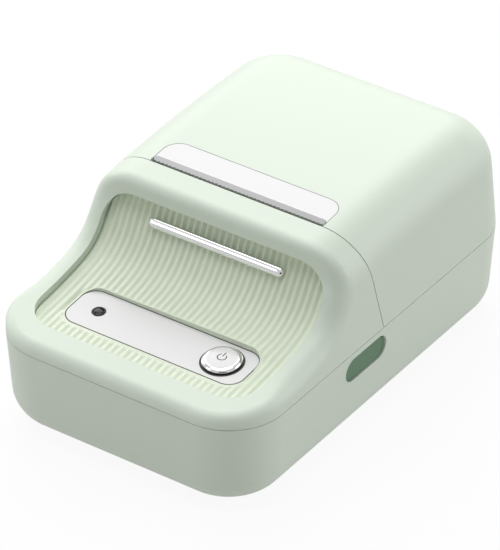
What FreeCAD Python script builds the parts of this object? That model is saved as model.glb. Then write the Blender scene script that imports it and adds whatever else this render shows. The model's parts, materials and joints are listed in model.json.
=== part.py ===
import FreeCAD, Part
import math
import os
import re
import Sketcher

# Compact label printer. Millimetres, +Z up, front towards -Y, bottom centre at the origin.

# Case
case_width = 80.0
case_depth = 123.0
case_height = 55.5
base_height = 25.1
foot_height = 0.7
plan_radius = 15.8
bottom_round = 9.0
top_round = 13.0
base_draft = 2.6
top_draft = 3.5
wall_thick = 2.0
crown_radius = 420.0
crown_back = 33.0
crown_spare = 4.0
seam_gap = 0.25
floor_bite = 1.0
tool_reach = 20.0
drill_spare = 1.0

# Front deck and face, set out ahead of the roll bay
deck_height = 3.5
deck_slope = 5.8
sweep_start = 32.0
sweep_radius = 100.0
throat_radius = 13.0
face_slope = 62.0
face_back = 14.5
rim_round = 5.0
cover_build = 5.2
window_reach = 6.0
seam_back = 4.6
seam_lean = 13.7

# Ribbed panel
recess_depth = 1.8
panel_thick = 1.6
panel_side = 6.5
panel_front = 8.0
panel_top = 6.9
panel_corner = 9.0
panel_fit = 0.15
ledge_width = 2.2
rib_pitch = 1.9
rib_count = 34
rib_margin = 1.4
groove_width = 0.95
groove_depth = 0.6
trim_side = 13.0
trim_drop = 11.6
trim_height = 3.5
trim_rise = 1.3

# Control plate
plate_side = 7.0
plate_length = 13.6
plate_front = 14.6
plate_corner = 4.2
plate_thick = 1.2
plate_sink = 2.1
plate_slope = 5.0
plate_fit = 0.15
well_wall = 1.2
well_floor = 1.2
well_top = 0.6
button_inset = 8.3
button_radius = 5.1
button_fit = 0.3
button_rise = 1.5
button_travel = 0.5
button_clear = 0.1
button_round = 1.1
stem_radius = 1.8
stem_fit = 0.1
lens_inset = 7.3
lens_radius = 1.7
lens_rise = 0.35
lens_round = 0.3

# Main board and power switch
board_drop = 8.2
board_thick = 1.2
board_side = 2.5
board_ahead = 2.0
board_behind = 5.0
board_hole_back = 2.5
board_hole_radius = 1.3
board_post_radius = 1.6
board_post_side = 4.0
board_post_end = 2.0
board_post_bite = 0.2
switch_height = 2.6
switch_half = 3.0
switch_floor = 0.5
switch_bore = 1.6
plunger_rise = 0.9
plunger_lift = 1.1
plunger_radius = 1.2
plunger_foot_radius = 1.5
plunger_foot_thick = 0.5

# Exit slot of the lid
exit_front = 10.0
exit_side = 14.0
exit_length = 8.7
exit_corner = 4.5
exit_thick = 1.2
exit_fit = 0.12
tear_thick = 0.6
tear_height = 6.6
tear_side = 0.4
tear_fit = 0.02

# Hinge
hinge_inset = 2.9
hinge_rise = 3.1
hinge_pin_radius = 1.0
hinge_fit = 0.05
hinge_pin_over = 0.1
knuckle_radius = 2.2
hinge_ear_inset = 5.2
hinge_ear_width = 3.0
hinge_side_gap = 0.3
hinge_bore_spare = 2.0
web_behind = 1.2
web_height = 7.0
relief_skin = 0.15
notch_ahead = 3.2
notch_above = 2.8
ear_root_behind = 1.4
ear_root_deep = 13.8
ear_root_top = 0.4
ear_post_bite = 2.0

# Platen, its bracket and the screws that hold it
platen_back = 5.9
platen_drop = 13.8
platen_radius = 4.6
platen_core_radius = 3.0
platen_side = 3.6
axle_radius = 1.5
axle_fit = 0.04
axle_over = 0.4
axle_end = 0.8
bush_radius = 2.6
collar_thick = 0.5
collar_step = 0.6
ear_room = 0.7
ear_thick = 1.2
ear_ahead = 3.2
ear_below = 3.2
bracket_rise = 7.4
bracket_thick = 1.2
bracket_ahead = 2.4
bracket_behind = 6.0
bracket_hole_radius = 1.1
bracket_screw_radius = 0.9
bracket_head_radius = 1.8
bracket_head_height = 1.0
boss_half = 14.0
boss_behind = 2.0
boss_radius = 2.8
boss_top = 3.2
boss_pilot_radius = 0.95
boss_pilot_deep = 2.0
pilot_spare = 0.2

# Gear train and motor
gear_gap = 0.4
gear_width = 2.2
gear_module = 0.5
press_angle = 25.0
tooth_above = 0.8
tooth_below = 1.05
tooth_play = 0.1
platen_teeth = 20
idler_teeth = 30
motor_teeth = 12
motor_turn = 14.0
post_radius = 1.0
post_over = 0.3
motor_radius = 8.0
motor_length = 15.0
motor_bore_deep = 12.0
motor_eye_room = 1.2
shaft_over = 0.2
mount_thick = 0.8
mount_half = 5.0

# Print head and the frame that carries it
head_clear = 0.15
head_short = 0.2
ceramic_thick = 1.0
ceramic_edge = 0.6
ceramic_low = 2.6
head_thick = 2.2
head_above = 4.2
head_below = 12.4
head_notch_room = 0.5
head_leaf_gap = 0.3
head_leaf_low = 0.8
head_leaf_high = 4.2
head_leaf_thick = 0.4
head_leaf_inner = 6.0
head_leaf_wide = 8.0
pivot_drop = 5.6
pivot_radius = 0.8
pivot_fit = 0.04
pivot_pin_short = 1.0
pivot_ear_inset = 5.6
pivot_ear_thick = 2.4
pivot_ear_gap = 0.4
pivot_ear_bite = 0.5
pivot_ear_back = 4.2
pivot_ear_drop = 6.6
pivot_ear_neck = 4.9
pivot_ear_above = 1.9
pivot_ear_ahead = 1.8
pivot_ear_below = 2.0
beam_gap = 4.6
beam_thick = 2.4
beam_drop = 12.6
wing_step = 0.1
wing_thick = 1.2
wing_ahead = 9.4
wing_drop = 7.8
wing_slope_ahead = 6.6
wing_slope_drop = 12.0
wing_foot_wide = 6.0
wing_foot_short = 2.0
wing_foot_thick = 1.4
sensor_half = 3.0
sensor_inset = 0.2
sensor_height = 1.4

# Release buttons, latch slides and the catches of the lid
release_back = 12.0
release_drop = 5.1
release_length = 17.8
release_tall = 6.8
release_fit = 0.2
release_sink = 0.5
release_window_deep = 5.0
flange_gap = 0.9
flange_thick = 1.2
flange_over = 2.0
slide_inset = 5.2
slide_thick = 1.4
slide_ahead = 9.0
slide_half = 2.4
stalk_half = 5.0
stalk_rise = 1.6
shelf_inset = 6.4
shelf_thick = 2.4
shelf_ahead = 7.0
shelf_behind = 14.2
shelf_wide = 1.6
shelf_gap = 0.2
shelf_lift = 0.6
seat_inset = 10.4
seat_thick = 1.2
seat_above = 1.0
leaf_behind = 9.2
leaf_long = 3.4
leaf_thick = 0.3
leaf_seat = 0.02
leaf_below = 1.6
leaf_above = 0.6
catch_thick = 1.4
catch_gap = 1.0
catch_behind = 13.0
catch_wide = 5.0
catch_rise = 8.0
catch_root_low = 2.0
catch_root_bite = 0.4
hook_lip = 0.4
hook_below = 0.8
hook_above = 0.6
latch_clear = 0.3
nose_inset = 0.4

# Roll bin and media guides
bin_radius = 23.5
bin_back = 6.5
bin_side_gap = 3.1
bin_thick = 1.5
guide_side_gap = 1.2
guide_thick = 1.6
guide_bin_gap = 2.5
guide_headroom = 3.2
guide_travel = 14.0
guide_notch_rise = 18.0
guide_notch_radius = 9.0
guide_slot_spare = 0.4
neck_step = 0.7
neck_wide = 1.8
neck_gap = 0.3
neck_bite = 5.0
rack_module = 0.6
rack_teeth = 12
rack_spare_teeth = 2
rack_height = 1.6
rack_bar = 2.0
rack_over = 4.0
rack_lift = 0.3
rack_clear = 0.4
pinion_post_radius = 1.2
leg_inset_x = 8.2
leg_inset_y = 11.0
leg_radius = 2.6
leg_pilot_radius = 1.02

# Battery, charging socket, feet and case screws
battery_side = 9.0
battery_front = 9.0
battery_width = 20.0
battery_height = 10.0
battery_round = 1.5
rail_inner = 14.0
rail_thick = 2.0
rail_short = 0.5
rail_height = 0.8
port_width = 8.9
port_height = 3.2
port_depth = 7.2
port_rise = 11.0
port_sink = 0.4
port_fit = 0.2
port_edge = 0.05
port_wall = 0.3
port_end_wall = 0.6
tongue_half = 3.3
tongue_thick = 0.7
tongue_root = 0.3
tongue_sink = 1.0
port_board_half = 10.0
port_board_deep = 11.0
port_board_gap = 2.6
port_board_thick = 1.2
port_post_radius = 1.8
port_post_half = 7.5
port_post_ahead = 7.5
foot_radius = 4.5
foot_sink = 0.6
foot_fit = 0.1
foot_inset_x = 18.0
foot_inset_y = 15.5
foot_screw_gap = 0.2
screw_radius = 1.0
screw_head_radius = 2.0
screw_head_height = 1.0
screw_sink_radius = 2.3
screw_sink_deep = 1.3
screw_way_radius = 1.2
screw_bite = 5.3

# The sheet that drives the model holds every size above under its own name
DOC = FreeCAD.newDocument("label_printer")
DIMS = DOC.addObject("Spreadsheet::Sheet", "dims")
NODES = []
SIZES = {alias: value for alias, value in globals().items() if isinstance(value, (int, float))}
for row, alias in enumerate(SIZES, 1):
    DIMS.set("A%d" % row, alias)
    DIMS.set("B%d" % row, str(SIZES[alias]))
    DIMS.setAlias("B%d" % row, alias)
DOC.recompute()

# Heights of the case
FLOOR = "foot_height"
INSIDE = "(foot_height + wall_thick)"
PART = "(foot_height + base_height)"
UPPER = "(%s + seam_gap)" % PART
TOP = "(foot_height + case_height)"
IN_FLOOR = "(%s - floor_bite)" % INSIDE

# Ends of the case and the inner face of its side walls
FRONT = "(-case_depth / 2)"
BACK = "(case_depth / 2)"
WALL_X = "(case_width / 2 - wall_thick)"
EVERY_X = ("-case_width", "case_width")
EVERY_Y = (FRONT, BACK)

# The roll bin sits at the back on its racks, and the print unit is set out ahead of it
BIN_Y = "(%s - wall_thick - bin_back - bin_thick - bin_radius)" % BACK
BIN_Z = "(%s + rack_lift + rack_height + rack_clear + bin_thick + bin_radius)" % INSIDE
BAY_Y = "(%s - bin_radius - bin_thick)" % BIN_Y
SLIDE_IN = "(%s - slide_inset)" % WALL_X
BIN_HALF = "(%s - bin_side_gap - bin_thick)" % SLIDE_IN
GUIDE_OUT = "(%s - guide_side_gap)" % BIN_HALF
GUIDE_IN = "(%s - guide_thick)" % GUIDE_OUT
GUIDE_RADIUS = "min(bin_radius - guide_bin_gap; %s - wall_thick - guide_headroom - %s)" % (TOP, BIN_Z)
CROWN_Y = "(%s - crown_back)" % BACK
SEAM_Y = "(%s - seam_back)" % BAY_Y
BROW_Y = "(%s - face_back)" % BAY_Y
EXIT_Y = "(%s - exit_front)" % BAY_Y
EXIT_HALF = "(case_width / 2 - exit_side)"
AXIS_Y = "(%s - hinge_inset)" % BACK
AXIS_Z = "(%s + hinge_rise)" % PART
HINGE_IN = "(case_width / 2 - plan_radius - hinge_ear_inset)"

# Control plate and what lies on and under it
PANEL_HALF = "(case_width / 2 - panel_side)"
PLATE_HALF = "(%s - plate_side)" % PANEL_HALF
PLATE_Y = "(%s + plate_front + plate_length / 2)" % FRONT
PLATE_Z = ("(%s + deck_height + plate_front * tan(deck_slope) - plate_sink"
           " + plate_length / 2 * tan(plate_slope))" % PART)
BUTTON = ("%s - button_inset" % PLATE_HALF, "0")
LENS = ("lens_inset - %s" % PLATE_HALF, "0")

# Print unit
PLATEN_Y = "(%s - platen_back)" % BAY_Y
PLATEN_Z = "(%s - platen_drop)" % TOP
PLATEN = (PLATEN_Y, PLATEN_Z)
PLATEN_HALF = "(%s - platen_side)" % BIN_HALF
EAR_IN = "(%s + ear_room)" % PLATEN_HALF
EAR_OUT = "(%s + ear_thick)" % EAR_IN
LIP_LOW = "(%s + bracket_rise - bracket_thick)" % PLATEN_Z
LIP_HIGH = "(%s + bracket_rise)" % PLATEN_Z
BOSS_Y = "(%s + boss_behind)" % PLATEN_Y
HEAD_Y = "(%s - platen_radius - head_clear)" % PLATEN_Y
HEAD_HALF = "(%s - head_short)" % PLATEN_HALF
PIVOT_Y = "(%s - ceramic_thick - head_thick / 2)" % HEAD_Y
PIVOT_Z = "(%s - pivot_drop)" % PLATEN_Z
PIVOT_EAR = ("%s - pivot_ear_inset" % HEAD_HALF, "%s - pivot_ear_inset + pivot_ear_thick" % HEAD_HALF)
BEAM_Y = "(%s + beam_gap)" % HEAD_Y
WING_IN = "(%s - wing_step)" % EAR_IN

# Release buttons and the lid's catches
RELEASE_Y = "(%s - release_back)" % BAY_Y
RELEASE_Z = "(%s - release_drop)" % PART
FLANGE_IN = "(%s - flange_gap - flange_thick)" % WALL_X
CATCH_IN = "(%s - catch_gap - catch_thick)" % WALL_X
CATCH_Y = ("%s + catch_behind" % RELEASE_Y, "%s + catch_behind + catch_wide" % RELEASE_Y)
NOSE_Y = ("%s + nose_inset" % CATCH_Y[0], "%s - nose_inset" % CATCH_Y[1])
SEAT_IN = "(%s - seat_inset)" % WALL_X
SEAT_OUT = "(%s + seat_thick)" % SEAT_IN
LEAF_Y = "(%s + leaf_behind)" % RELEASE_Y

# Charging socket, legs of the roll bin and feet
PORT_Y = "(%s - (base_height - port_rise) * tan(base_draft) - port_sink)" % BACK
PORT_Z = "(foot_height + port_rise)"
PORT_LOW = "(%s - port_height / 2)" % PORT_Z
PORT_HIGH = "(%s + port_height / 2)" % PORT_Z
CORNERS = [(x, y) for x in (-1, 1) for y in (-1, 1)]
LEGS = [("%d * (%s - leg_inset_x)" % (x, BIN_HALF), "%s + %d * leg_inset_y" % (BIN_Y, y)) for x, y in CORNERS]
FOOT_ROWS = {-1: "%s + foot_inset_y" % FRONT,
             1: "%s + leg_inset_y + screw_sink_radius + foot_screw_gap + foot_radius" % BIN_Y}
FEET = [("%d * (case_width / 2 - foot_inset_x)" % x, FOOT_ROWS[y]) for x, y in CORNERS]


def sheet_formula(formula):
    """Point every alias of a formula at the sheet."""
    return re.sub(r"\b([a-z]+(?:_[a-z]+)+)\b", r"dims.\1", str(formula))


def value_of(formula):
    """Give the number that a formula of aliases stands for."""
    result = PROBE.evalExpression(sheet_formula(formula))
    return float(getattr(result, "Value", result))


PROBE = DOC.addObject("App::FeaturePython", "probe")


def bind(item, prop, formula):
    """Tie one property of an object to the sheet."""
    item.setExpression(prop, sheet_formula(formula))


def place(item, x, y, z):
    """Tie the position of an object to the sheet."""
    bind(item, "Placement.Base.x", x)
    bind(item, "Placement.Base.y", y)
    bind(item, "Placement.Base.z", z)


def block(name, x, y, z):
    """Box between pairs of formulas along X, Y and Z."""
    item = DOC.addObject("Part::Box", name)
    bind(item, "Length", "(%s) - (%s)" % (x[1], x[0]))
    bind(item, "Width", "(%s) - (%s)" % (y[1], y[0]))
    bind(item, "Height", "(%s) - (%s)" % (z[1], z[0]))
    place(item, x[0], y[0], z[0])
    return item


def rod(name, axis, centre, span, radius):
    """Cylinder along an axis; the centre is given in the other two axes."""
    item = DOC.addObject("Part::Cylinder", name)
    bind(item, "Radius", radius)
    bind(item, "Height", "(%s) - (%s)" % (span[1], span[0]))
    if axis == "X":
        item.Placement.Rotation = FreeCAD.Rotation(FreeCAD.Vector(0, 1, 0), 90)
        place(item, span[0], centre[0], centre[1])
    elif axis == "Y":
        item.Placement.Rotation = FreeCAD.Rotation(FreeCAD.Vector(1, 0, 0), -90)
        place(item, centre[0], span[0], centre[1])
    else:
        place(item, centre[0], centre[1], span[0])
    return item


def fuse(name, items):
    """Join several solids."""
    item = DOC.addObject("Part::MultiFuse", name)
    item.Shapes = items
    item.Refine = True
    return item


def common(name, items):
    """Keep what several solids share."""
    item = DOC.addObject("Part::MultiCommon", name)
    item.Shapes = items
    return item


def cut(name, base, tools):
    """Take tools away from a base solid."""
    tool = tools[0]
    if len(tools) > 1:
        tool = DOC.addObject("Part::Compound", name + "_tools")
        tool.Links = tools
    item = DOC.addObject("Part::Cut", name)
    item.Base = base
    item.Tool = tool
    item.Refine = True
    return item


def round_edges(name, base, radius, wanted):
    """Round the edges of a solid that a test picks out."""
    DOC.recompute()
    item = DOC.addObject("Part::Fillet", name)
    item.Base = base
    amount = value_of(radius)
    edges = base.Shape.Edges
    picks = [index + 1 for index in range(len(edges)) if wanted(edges[index])]
    item.Edges = [(index, amount, amount) for index in picks]
    return item


def outline(name, axis, corners):
    """Closed polygon sketch across an axis, each corner tied to the sheet."""
    sketch = DOC.addObject("Sketcher::SketchObject", name)
    if axis == "X":
        sketch.Placement.Rotation = FreeCAD.Rotation(FreeCAD.Vector(1, 1, 1), 120)
    elif axis == "Y":
        sketch.Placement.Rotation = FreeCAD.Rotation(FreeCAD.Vector(1, 0, 0), 90)
    spots = [FreeCAD.Vector(value_of(u), value_of(v), 0) for u, v in corners]
    count = len(spots)
    for index in range(count):
        sketch.addGeometry(Part.LineSegment(spots[index], spots[(index + 1) % count]))
    for index in range(count):
        sketch.addConstraint(Sketcher.Constraint("Coincident", index, 2, (index + 1) % count, 1))
    for index in range(count):
        for kind, at in (("DistanceX", 0), ("DistanceY", 1)):
            spot = spots[index][at]
            number = sketch.addConstraint(Sketcher.Constraint(kind, -1, 1, index, 1, spot))
            bind(sketch, "Constraints[%d]" % number, corners[index][at])
    return sketch


def prism(name, axis, corners, span):
    """Polygon drawn across an axis and drawn out along it."""
    item = DOC.addObject("Part::Extrusion", name)
    item.Base = outline(name + "_outline", axis, corners)
    item.DirMode = "Custom"
    if axis == "X":
        item.Dir = FreeCAD.Vector(1, 0, 0)
        place(item, span[0], "0", "0")
    elif axis == "Y":
        item.Dir = FreeCAD.Vector(0, 1, 0)
        place(item, "0", span[0], "0")
    else:
        item.Dir = FreeCAD.Vector(0, 0, 1)
        place(item, "0", "0", span[0])
    bind(item, "LengthFwd", "(%s) - (%s)" % (span[1], span[0]))
    item.Solid = True
    return item


def sides(side, inner, outer):
    """Span along X on the right (+1) or the left (-1), from inner to outer."""
    if side > 0:
        return (inner, outer)
    return ("-(%s)" % outer, "-(%s)" % inner)


def along(edge, direction):
    """Tell whether the two ends of an edge lie roughly along a direction."""
    if len(edge.Vertexes) < 2:
        return False
    way = edge.Vertexes[1].Point - edge.Vertexes[0].Point
    return way.Length > 0.01 and abs(way.normalize().dot(direction)) > 0.9


def node(label, item):
    """Mark a finished solid as one named piece."""
    item.Label = label
    NODES.append((label, item))
    return item


UP = FreeCAD.Vector(0, 0, 1)
AHEAD = FreeCAD.Vector(0, 1, 0)
ACROSS = FreeCAD.Vector(1, 0, 0)


def tapered_block(name, inset, low, high):
    """Block with drafted sides and rounded plan; low and high are height and inset pairs."""
    item = DOC.addObject("Part::Wedge", name + "_wedge")
    item.Placement.Rotation = FreeCAD.Rotation(FreeCAD.Vector(1, 0, 0), 90)
    for first, second, (level, shrink) in (("Xm", "Zm", low), ("X2m", "Z2m", high)):
        bind(item, first + "in", "-case_width / 2 + (%s) + (%s)" % (inset, shrink))
        bind(item, first + "ax", "case_width / 2 - (%s) - (%s)" % (inset, shrink))
        bind(item, second + "in", "-case_depth / 2 + (%s) + (%s)" % (inset, shrink))
        bind(item, second + "ax", "case_depth / 2 - (%s) - (%s)" % (inset, shrink))
    bind(item, "Ymin", low[0])
    bind(item, "Ymax", high[0])
    return round_edges(name + "_plan_round", item, "plan_radius - (%s)" % inset,
                       lambda edge: along(edge, UP))


def level_loop(height):
    """Test for the edges that lie wholly at one height."""
    return lambda edge: (abs(edge.BoundBox.ZMin - height) < 1e-4
                         and abs(edge.BoundBox.ZMax - height) < 1e-4)


def base_block(name, inset, floor):
    """Lower case form, narrower and rounded towards the floor."""
    narrow = "(%s - (%s)) * tan(base_draft)" % (PART, floor)
    form = tapered_block(name, inset, (floor, narrow), (PART, "0"))
    return round_edges(name, form, "bottom_round - (%s)" % inset, level_loop(value_of(floor)))


def lowered_crown(name, drop):
    """Crown of the case top, let down by an amount."""
    return rod(name, "X", (CROWN_Y, "%s - (%s) - crown_radius" % (TOP, drop)), EVERY_X, "crown_radius")


def upper_block(name, inset):
    """Upper case form with a crowned top and rounded shoulders."""
    high = "(case_height - base_height + crown_spare)"
    narrow = "%s * tan(top_draft)" % high
    form = tapered_block(name, inset, (UPPER, "0"), ("%s + %s" % (PART, high), narrow))
    crowned = common(name + "_crowned", [form, lowered_crown(name + "_crown", inset)])
    radius = value_of("crown_radius")
    middle = FreeCAD.Vector(0, value_of(CROWN_Y), value_of("%s - (%s) - crown_radius" % (TOP, inset)))

    def on_crown(edge):
        for share in (0.1, 0.5, 0.9):
            spot = edge.valueAt(edge.FirstParameter + share * (edge.LastParameter - edge.FirstParameter))
            if abs(math.hypot(spot.y - middle.y, spot.z - middle.z) - radius) > 1e-3:
                return False
        return True

    return round_edges(name, crowned, "top_round - (%s)" % inset, on_crown)


def front_points(sink):
    """Corner points of the front line: deck, long sweep, tight throat, steep face."""
    slope = math.radians(value_of("deck_slope"))
    steep = math.radians(value_of("face_slope"))
    sweep = value_of("sweep_radius") + sink
    throat = value_of("throat_radius") + sink
    spare = value_of("tool_reach")
    deck_way = FreeCAD.Vector(0, math.cos(slope), math.sin(slope))
    deck_up = FreeCAD.Vector(0, -math.sin(slope), math.cos(slope))
    face_way = FreeCAD.Vector(0, math.cos(steep), math.sin(steep))
    face_up = FreeCAD.Vector(0, -math.sin(steep), math.cos(steep))
    nose = FreeCAD.Vector(0, value_of(FRONT), value_of("%s + deck_height" % PART)) - deck_up * sink
    run = value_of("%s - sweep_start - %s" % (BROW_Y, FRONT))
    bend = nose + deck_way * (run / math.cos(slope))
    sweep_mid = bend + deck_up * sweep
    brow = FreeCAD.Vector(0, value_of(BROW_Y), value_of(TOP)) - face_up * sink
    start = brow + face_up * throat - sweep_mid
    half = start.dot(face_way)
    rest = start.dot(start) - (sweep - throat) ** 2
    way = -half - math.sqrt(half * half - rest)
    throat_mid = brow + face_up * throat + face_way * way
    foot = brow + face_way * way
    join = sweep_mid + (throat_mid - sweep_mid) * (sweep / (sweep - throat))
    return nose - deck_way * spare, bend, sweep_mid, join, throat_mid, foot, brow + face_way * spare


def arc_between(start, end, middle):
    """Arc about a middle from start to end, turning the short way."""
    radius = (start - middle).Length
    half = ((start - middle) + (end - middle)).normalize()
    return Part.Arc(start, middle + half * radius, end).toShape()


def front_region(name, sink, half_width):
    """Solid of everything in front of and above the front line."""
    ahead, bend, sweep_mid, join, throat_mid, foot, above = front_points(value_of(sink))
    high = FreeCAD.Vector(0, above.y, above.z)
    corner = FreeCAD.Vector(0, ahead.y, above.z)
    edges = [Part.makeLine(ahead, bend), arc_between(bend, join, sweep_mid)]
    edges += [arc_between(join, foot, throat_mid), Part.makeLine(foot, high)]
    edges += [Part.makeLine(high, corner), Part.makeLine(corner, ahead)]
    face = Part.Face(Part.Wire(edges))
    wide = value_of(half_width)
    item = DOC.addObject("Part::Feature", name)
    item.Shape = face.extrude(FreeCAD.Vector(2 * wide, 0, 0))
    item.Placement.Base = FreeCAD.Vector(-wide, 0, 0)
    return item


def on_front_line(sink):
    """Test for edges of a solid that lie on the front line surface."""
    ahead, bend, sweep_mid, join, throat_mid, foot, above = front_points(value_of(sink))
    sweep = (bend - sweep_mid).Length
    throat = (foot - throat_mid).Length
    deck_way = (bend - ahead).normalize()
    face_way = (above - foot).normalize()

    def off_line(spot):
        flat = FreeCAD.Vector(0, spot.y, spot.z)
        gaps = [(flat - ahead).cross(deck_way).Length, (flat - foot).cross(face_way).Length]
        gaps += [abs((flat - sweep_mid).Length - sweep), abs((flat - throat_mid).Length - throat)]
        return min(gaps)

    def test(edge):
        spread = edge.LastParameter - edge.FirstParameter
        for share in (0.05, 0.35, 0.65, 0.95):
            if off_line(edge.valueAt(edge.FirstParameter + share * spread)) > 1e-3:
                return False
        return True

    return test


def rim_edges(shape_item, sink):
    """Outer loop of the front line on a solid, without the lines inside it."""
    DOC.recompute()
    on_line = on_front_line(sink)
    shape = shape_item.Shape

    def test(edge):
        if not on_line(edge):
            return False
        faces = shape.ancestorsOfType(edge, Part.Face)
        if len(faces) != 2:
            return False
        inside = [all(on_line(side) for side in face.OuterWire.Edges) for face in faces]
        return inside.count(True) == 1

    return test


# Outer and inner forms of the case
base_outer = base_block("base_outer", "0", FLOOR)
base_inner = base_block("base_inner", "wall_thick", INSIDE)
upper_outer = upper_block("upper_outer", "0")
upper_inner = upper_block("upper_inner", "wall_thick")
front_outer = cut("front_outer", upper_outer, [front_region("front_air", "0", "case_width")])
front_form = round_edges("front_form", front_outer, "rim_round", rim_edges(front_outer, "0"))
front_inner = cut("front_inner", upper_inner, [front_region("front_skin", "cover_build", "case_width")])


def seam_half(name, side, shift):
    """Everything in front of (-1) or behind (+1) the leaning lid seam."""
    low = "(%s - tool_reach)" % PART
    high = "(%s + tool_reach)" % TOP
    low_y = "%s + tool_reach * tan(seam_lean) + (%s)" % (SEAM_Y, shift)
    high_y = "%s - (case_height - base_height + tool_reach) * tan(seam_lean) + (%s)" % (SEAM_Y, shift)
    far = "%d * (case_depth / 2 + tool_reach)" % side
    corners = [(far, low), (low_y, low), (high_y, high), (far, high)]
    return prism(name, "X", corners, EVERY_X)


def panel_outline(name, grow):
    """Rounded outline of the ribbed panel, grown by an amount, as a tall form."""
    half = "%s + (%s)" % (PANEL_HALF, grow)
    x = ("-(%s)" % half, half)
    ahead = "%s + panel_front - (%s)" % (FRONT, grow)
    high = "%s - panel_top + (%s)" % (TOP, grow)
    front = value_of(ahead)
    plan = block(name + "_plan", x, (ahead, BACK), ("0", "%s + tool_reach" % TOP))
    plan_round = round_edges(name + "_plan_form", plan, "panel_corner + (%s)" % grow,
                             lambda edge: along(edge, UP) and abs(edge.BoundBox.YMax - front) < 1e-4)
    face = block(name + "_face", x, ("-case_depth", BACK), ("0", high))
    top = value_of(high)
    face_round = round_edges(name + "_face_form", face, "panel_corner + (%s)" % grow,
                             lambda edge: along(edge, AHEAD) and abs(edge.BoundBox.ZMax - top) < 1e-4)
    return common(name, [plan_round, face_round])


def tilt_to_plate(item):
    """Move a piece built flat at the origin onto the sloped control plate."""
    item.Placement.Rotation = FreeCAD.Rotation(ACROSS, 1)
    bind(item, "Placement.Rotation.Angle", "plate_slope")
    place(item, "0", PLATE_Y, PLATE_Z)
    return item


def plate_form(name, grow, low, high):
    """Rounded control plate outline, grown by an amount, between two heights."""
    half_x = "%s + (%s)" % (PLATE_HALF, grow)
    half_y = "plate_length / 2 + (%s)" % grow
    form = block(name + "_block", ("-(%s)" % half_x, half_x), ("-(%s)" % half_y, half_y), (low, high))
    return round_edges(name, form, "plate_corner + (%s)" % grow, lambda edge: along(edge, UP))


def moved(item, move):
    """Keep a finished shape at a new position as a plain solid."""
    shape = item.Shape.copy()
    shape.translate(move)
    return shape


def group(label, parts):
    """Keep several like solids together as one named piece."""
    item = DOC.addObject("Part::Compound", label + "_set")
    item.Links = parts
    return node(label, item)


def top_circle(edge):
    """Test for the upper full circle of a round piece that stands above its plate."""
    return edge.BoundBox.ZMin > 0 and len(edge.Vertexes) == 1


DEEP = "recess_depth + panel_thick"
THROUGH = ("-tool_reach", "tool_reach")

# Front cover with its recess, ledge and window
cover_raw = common("cover_raw", [front_form, seam_half("seam_ahead", -1, "0")])
recess = common("recess", [panel_outline("recess_outline", "0"),
                           front_region("recess_air", DEEP, "case_width")])
window = common("window", [panel_outline("window_outline", "-ledge_width"),
                           front_region("window_air", "cover_build + window_reach", "case_width")])
cover_shell = cut("cover_shell", cover_raw, [front_inner, recess, window])
node("front_cover", cover_shell)

# Ribbed panel with the well of the control plate
panel_slab = common("panel_slab", [panel_outline("panel_form", "-panel_fit"),
                                   front_region("panel_under", DEEP, "case_width")])
panel_skin = cut("panel_skin", panel_slab, [front_region("panel_over", "recess_depth", "case_width")])
groove = front_region("groove", "recess_depth + groove_depth", "groove_width / 2")
DOC.recompute()
count = int(value_of("rib_count"))
pitch = value_of("rib_pitch")
steps = [FreeCAD.Vector((index - (count - 1) / 2) * pitch, 0, 0) for index in range(count)]
grooves = DOC.addObject("Part::Feature", "grooves")
grooves.Shape = Part.makeCompound([moved(groove, step) for step in steps])
margin = tilt_to_plate(plate_form("plate_margin", "rib_margin", *THROUGH))
panel_ribs = cut("panel_ribs", panel_skin, [cut("groove_runs", grooves, [margin])])
well_parts = [plate_form("plate_well", "well_wall", "-plate_thick - well_floor", "-well_top")]
for side_x, side_y in CORNERS:
    spot = ("%d * (%s - board_post_side)" % (side_x, PLATE_HALF),
            "%d * (plate_length / 2 - board_post_end)" % side_y)
    well_parts.append(rod("board_post", "Z", spot,
                          ("-board_drop", "-plate_thick - well_floor + board_post_bite"),
                          "board_post_radius"))
well = tilt_to_plate(fuse("well_and_posts", well_parts))
panel_solid = fuse("panel_solid", [panel_ribs, well])
pocket = plate_form("plate_pocket", "plate_fit", "-plate_thick", "tool_reach")
stem_hole = rod("stem_hole", "Z", BUTTON, ("-tool_reach", "0"), "stem_radius + stem_fit")
pocket_and_hole = tilt_to_plate(fuse("pocket_and_hole", [pocket, stem_hole]))
panel = cut("panel", panel_solid, [pocket_and_hole])
node("ribbed_panel", panel)

# Control plate, status lens and power button
plate_blank = plate_form("plate_blank", "0", "-plate_thick", "0")
button_hole = rod("button_hole", "Z", BUTTON, THROUGH, "button_radius + button_fit")
lens_hole = rod("lens_hole", "Z", LENS, THROUGH, "lens_radius + plate_fit")
plate = cut("plate", plate_blank, [button_hole, lens_hole])
node("control_plate", tilt_to_plate(plate))
lens_blank = rod("lens_blank", "Z", LENS, ("-plate_thick", "lens_rise"), "lens_radius")
lens = round_edges("lens", lens_blank, "lens_round", top_circle)
node("status_lens", tilt_to_plate(lens))
cap_low = "-plate_thick + button_travel + button_clear"
cap_blank = rod("cap_blank", "Z", BUTTON, (cap_low, "button_rise"), "button_radius")
cap = round_edges("cap", cap_blank, "button_round", top_circle)
stem_low = "-board_drop + switch_height"
stem = rod("stem", "Z", BUTTON, (stem_low, "0"), "stem_radius")
button = fuse("button", [cap, stem])
node("power_button", tilt_to_plate(button))

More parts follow.
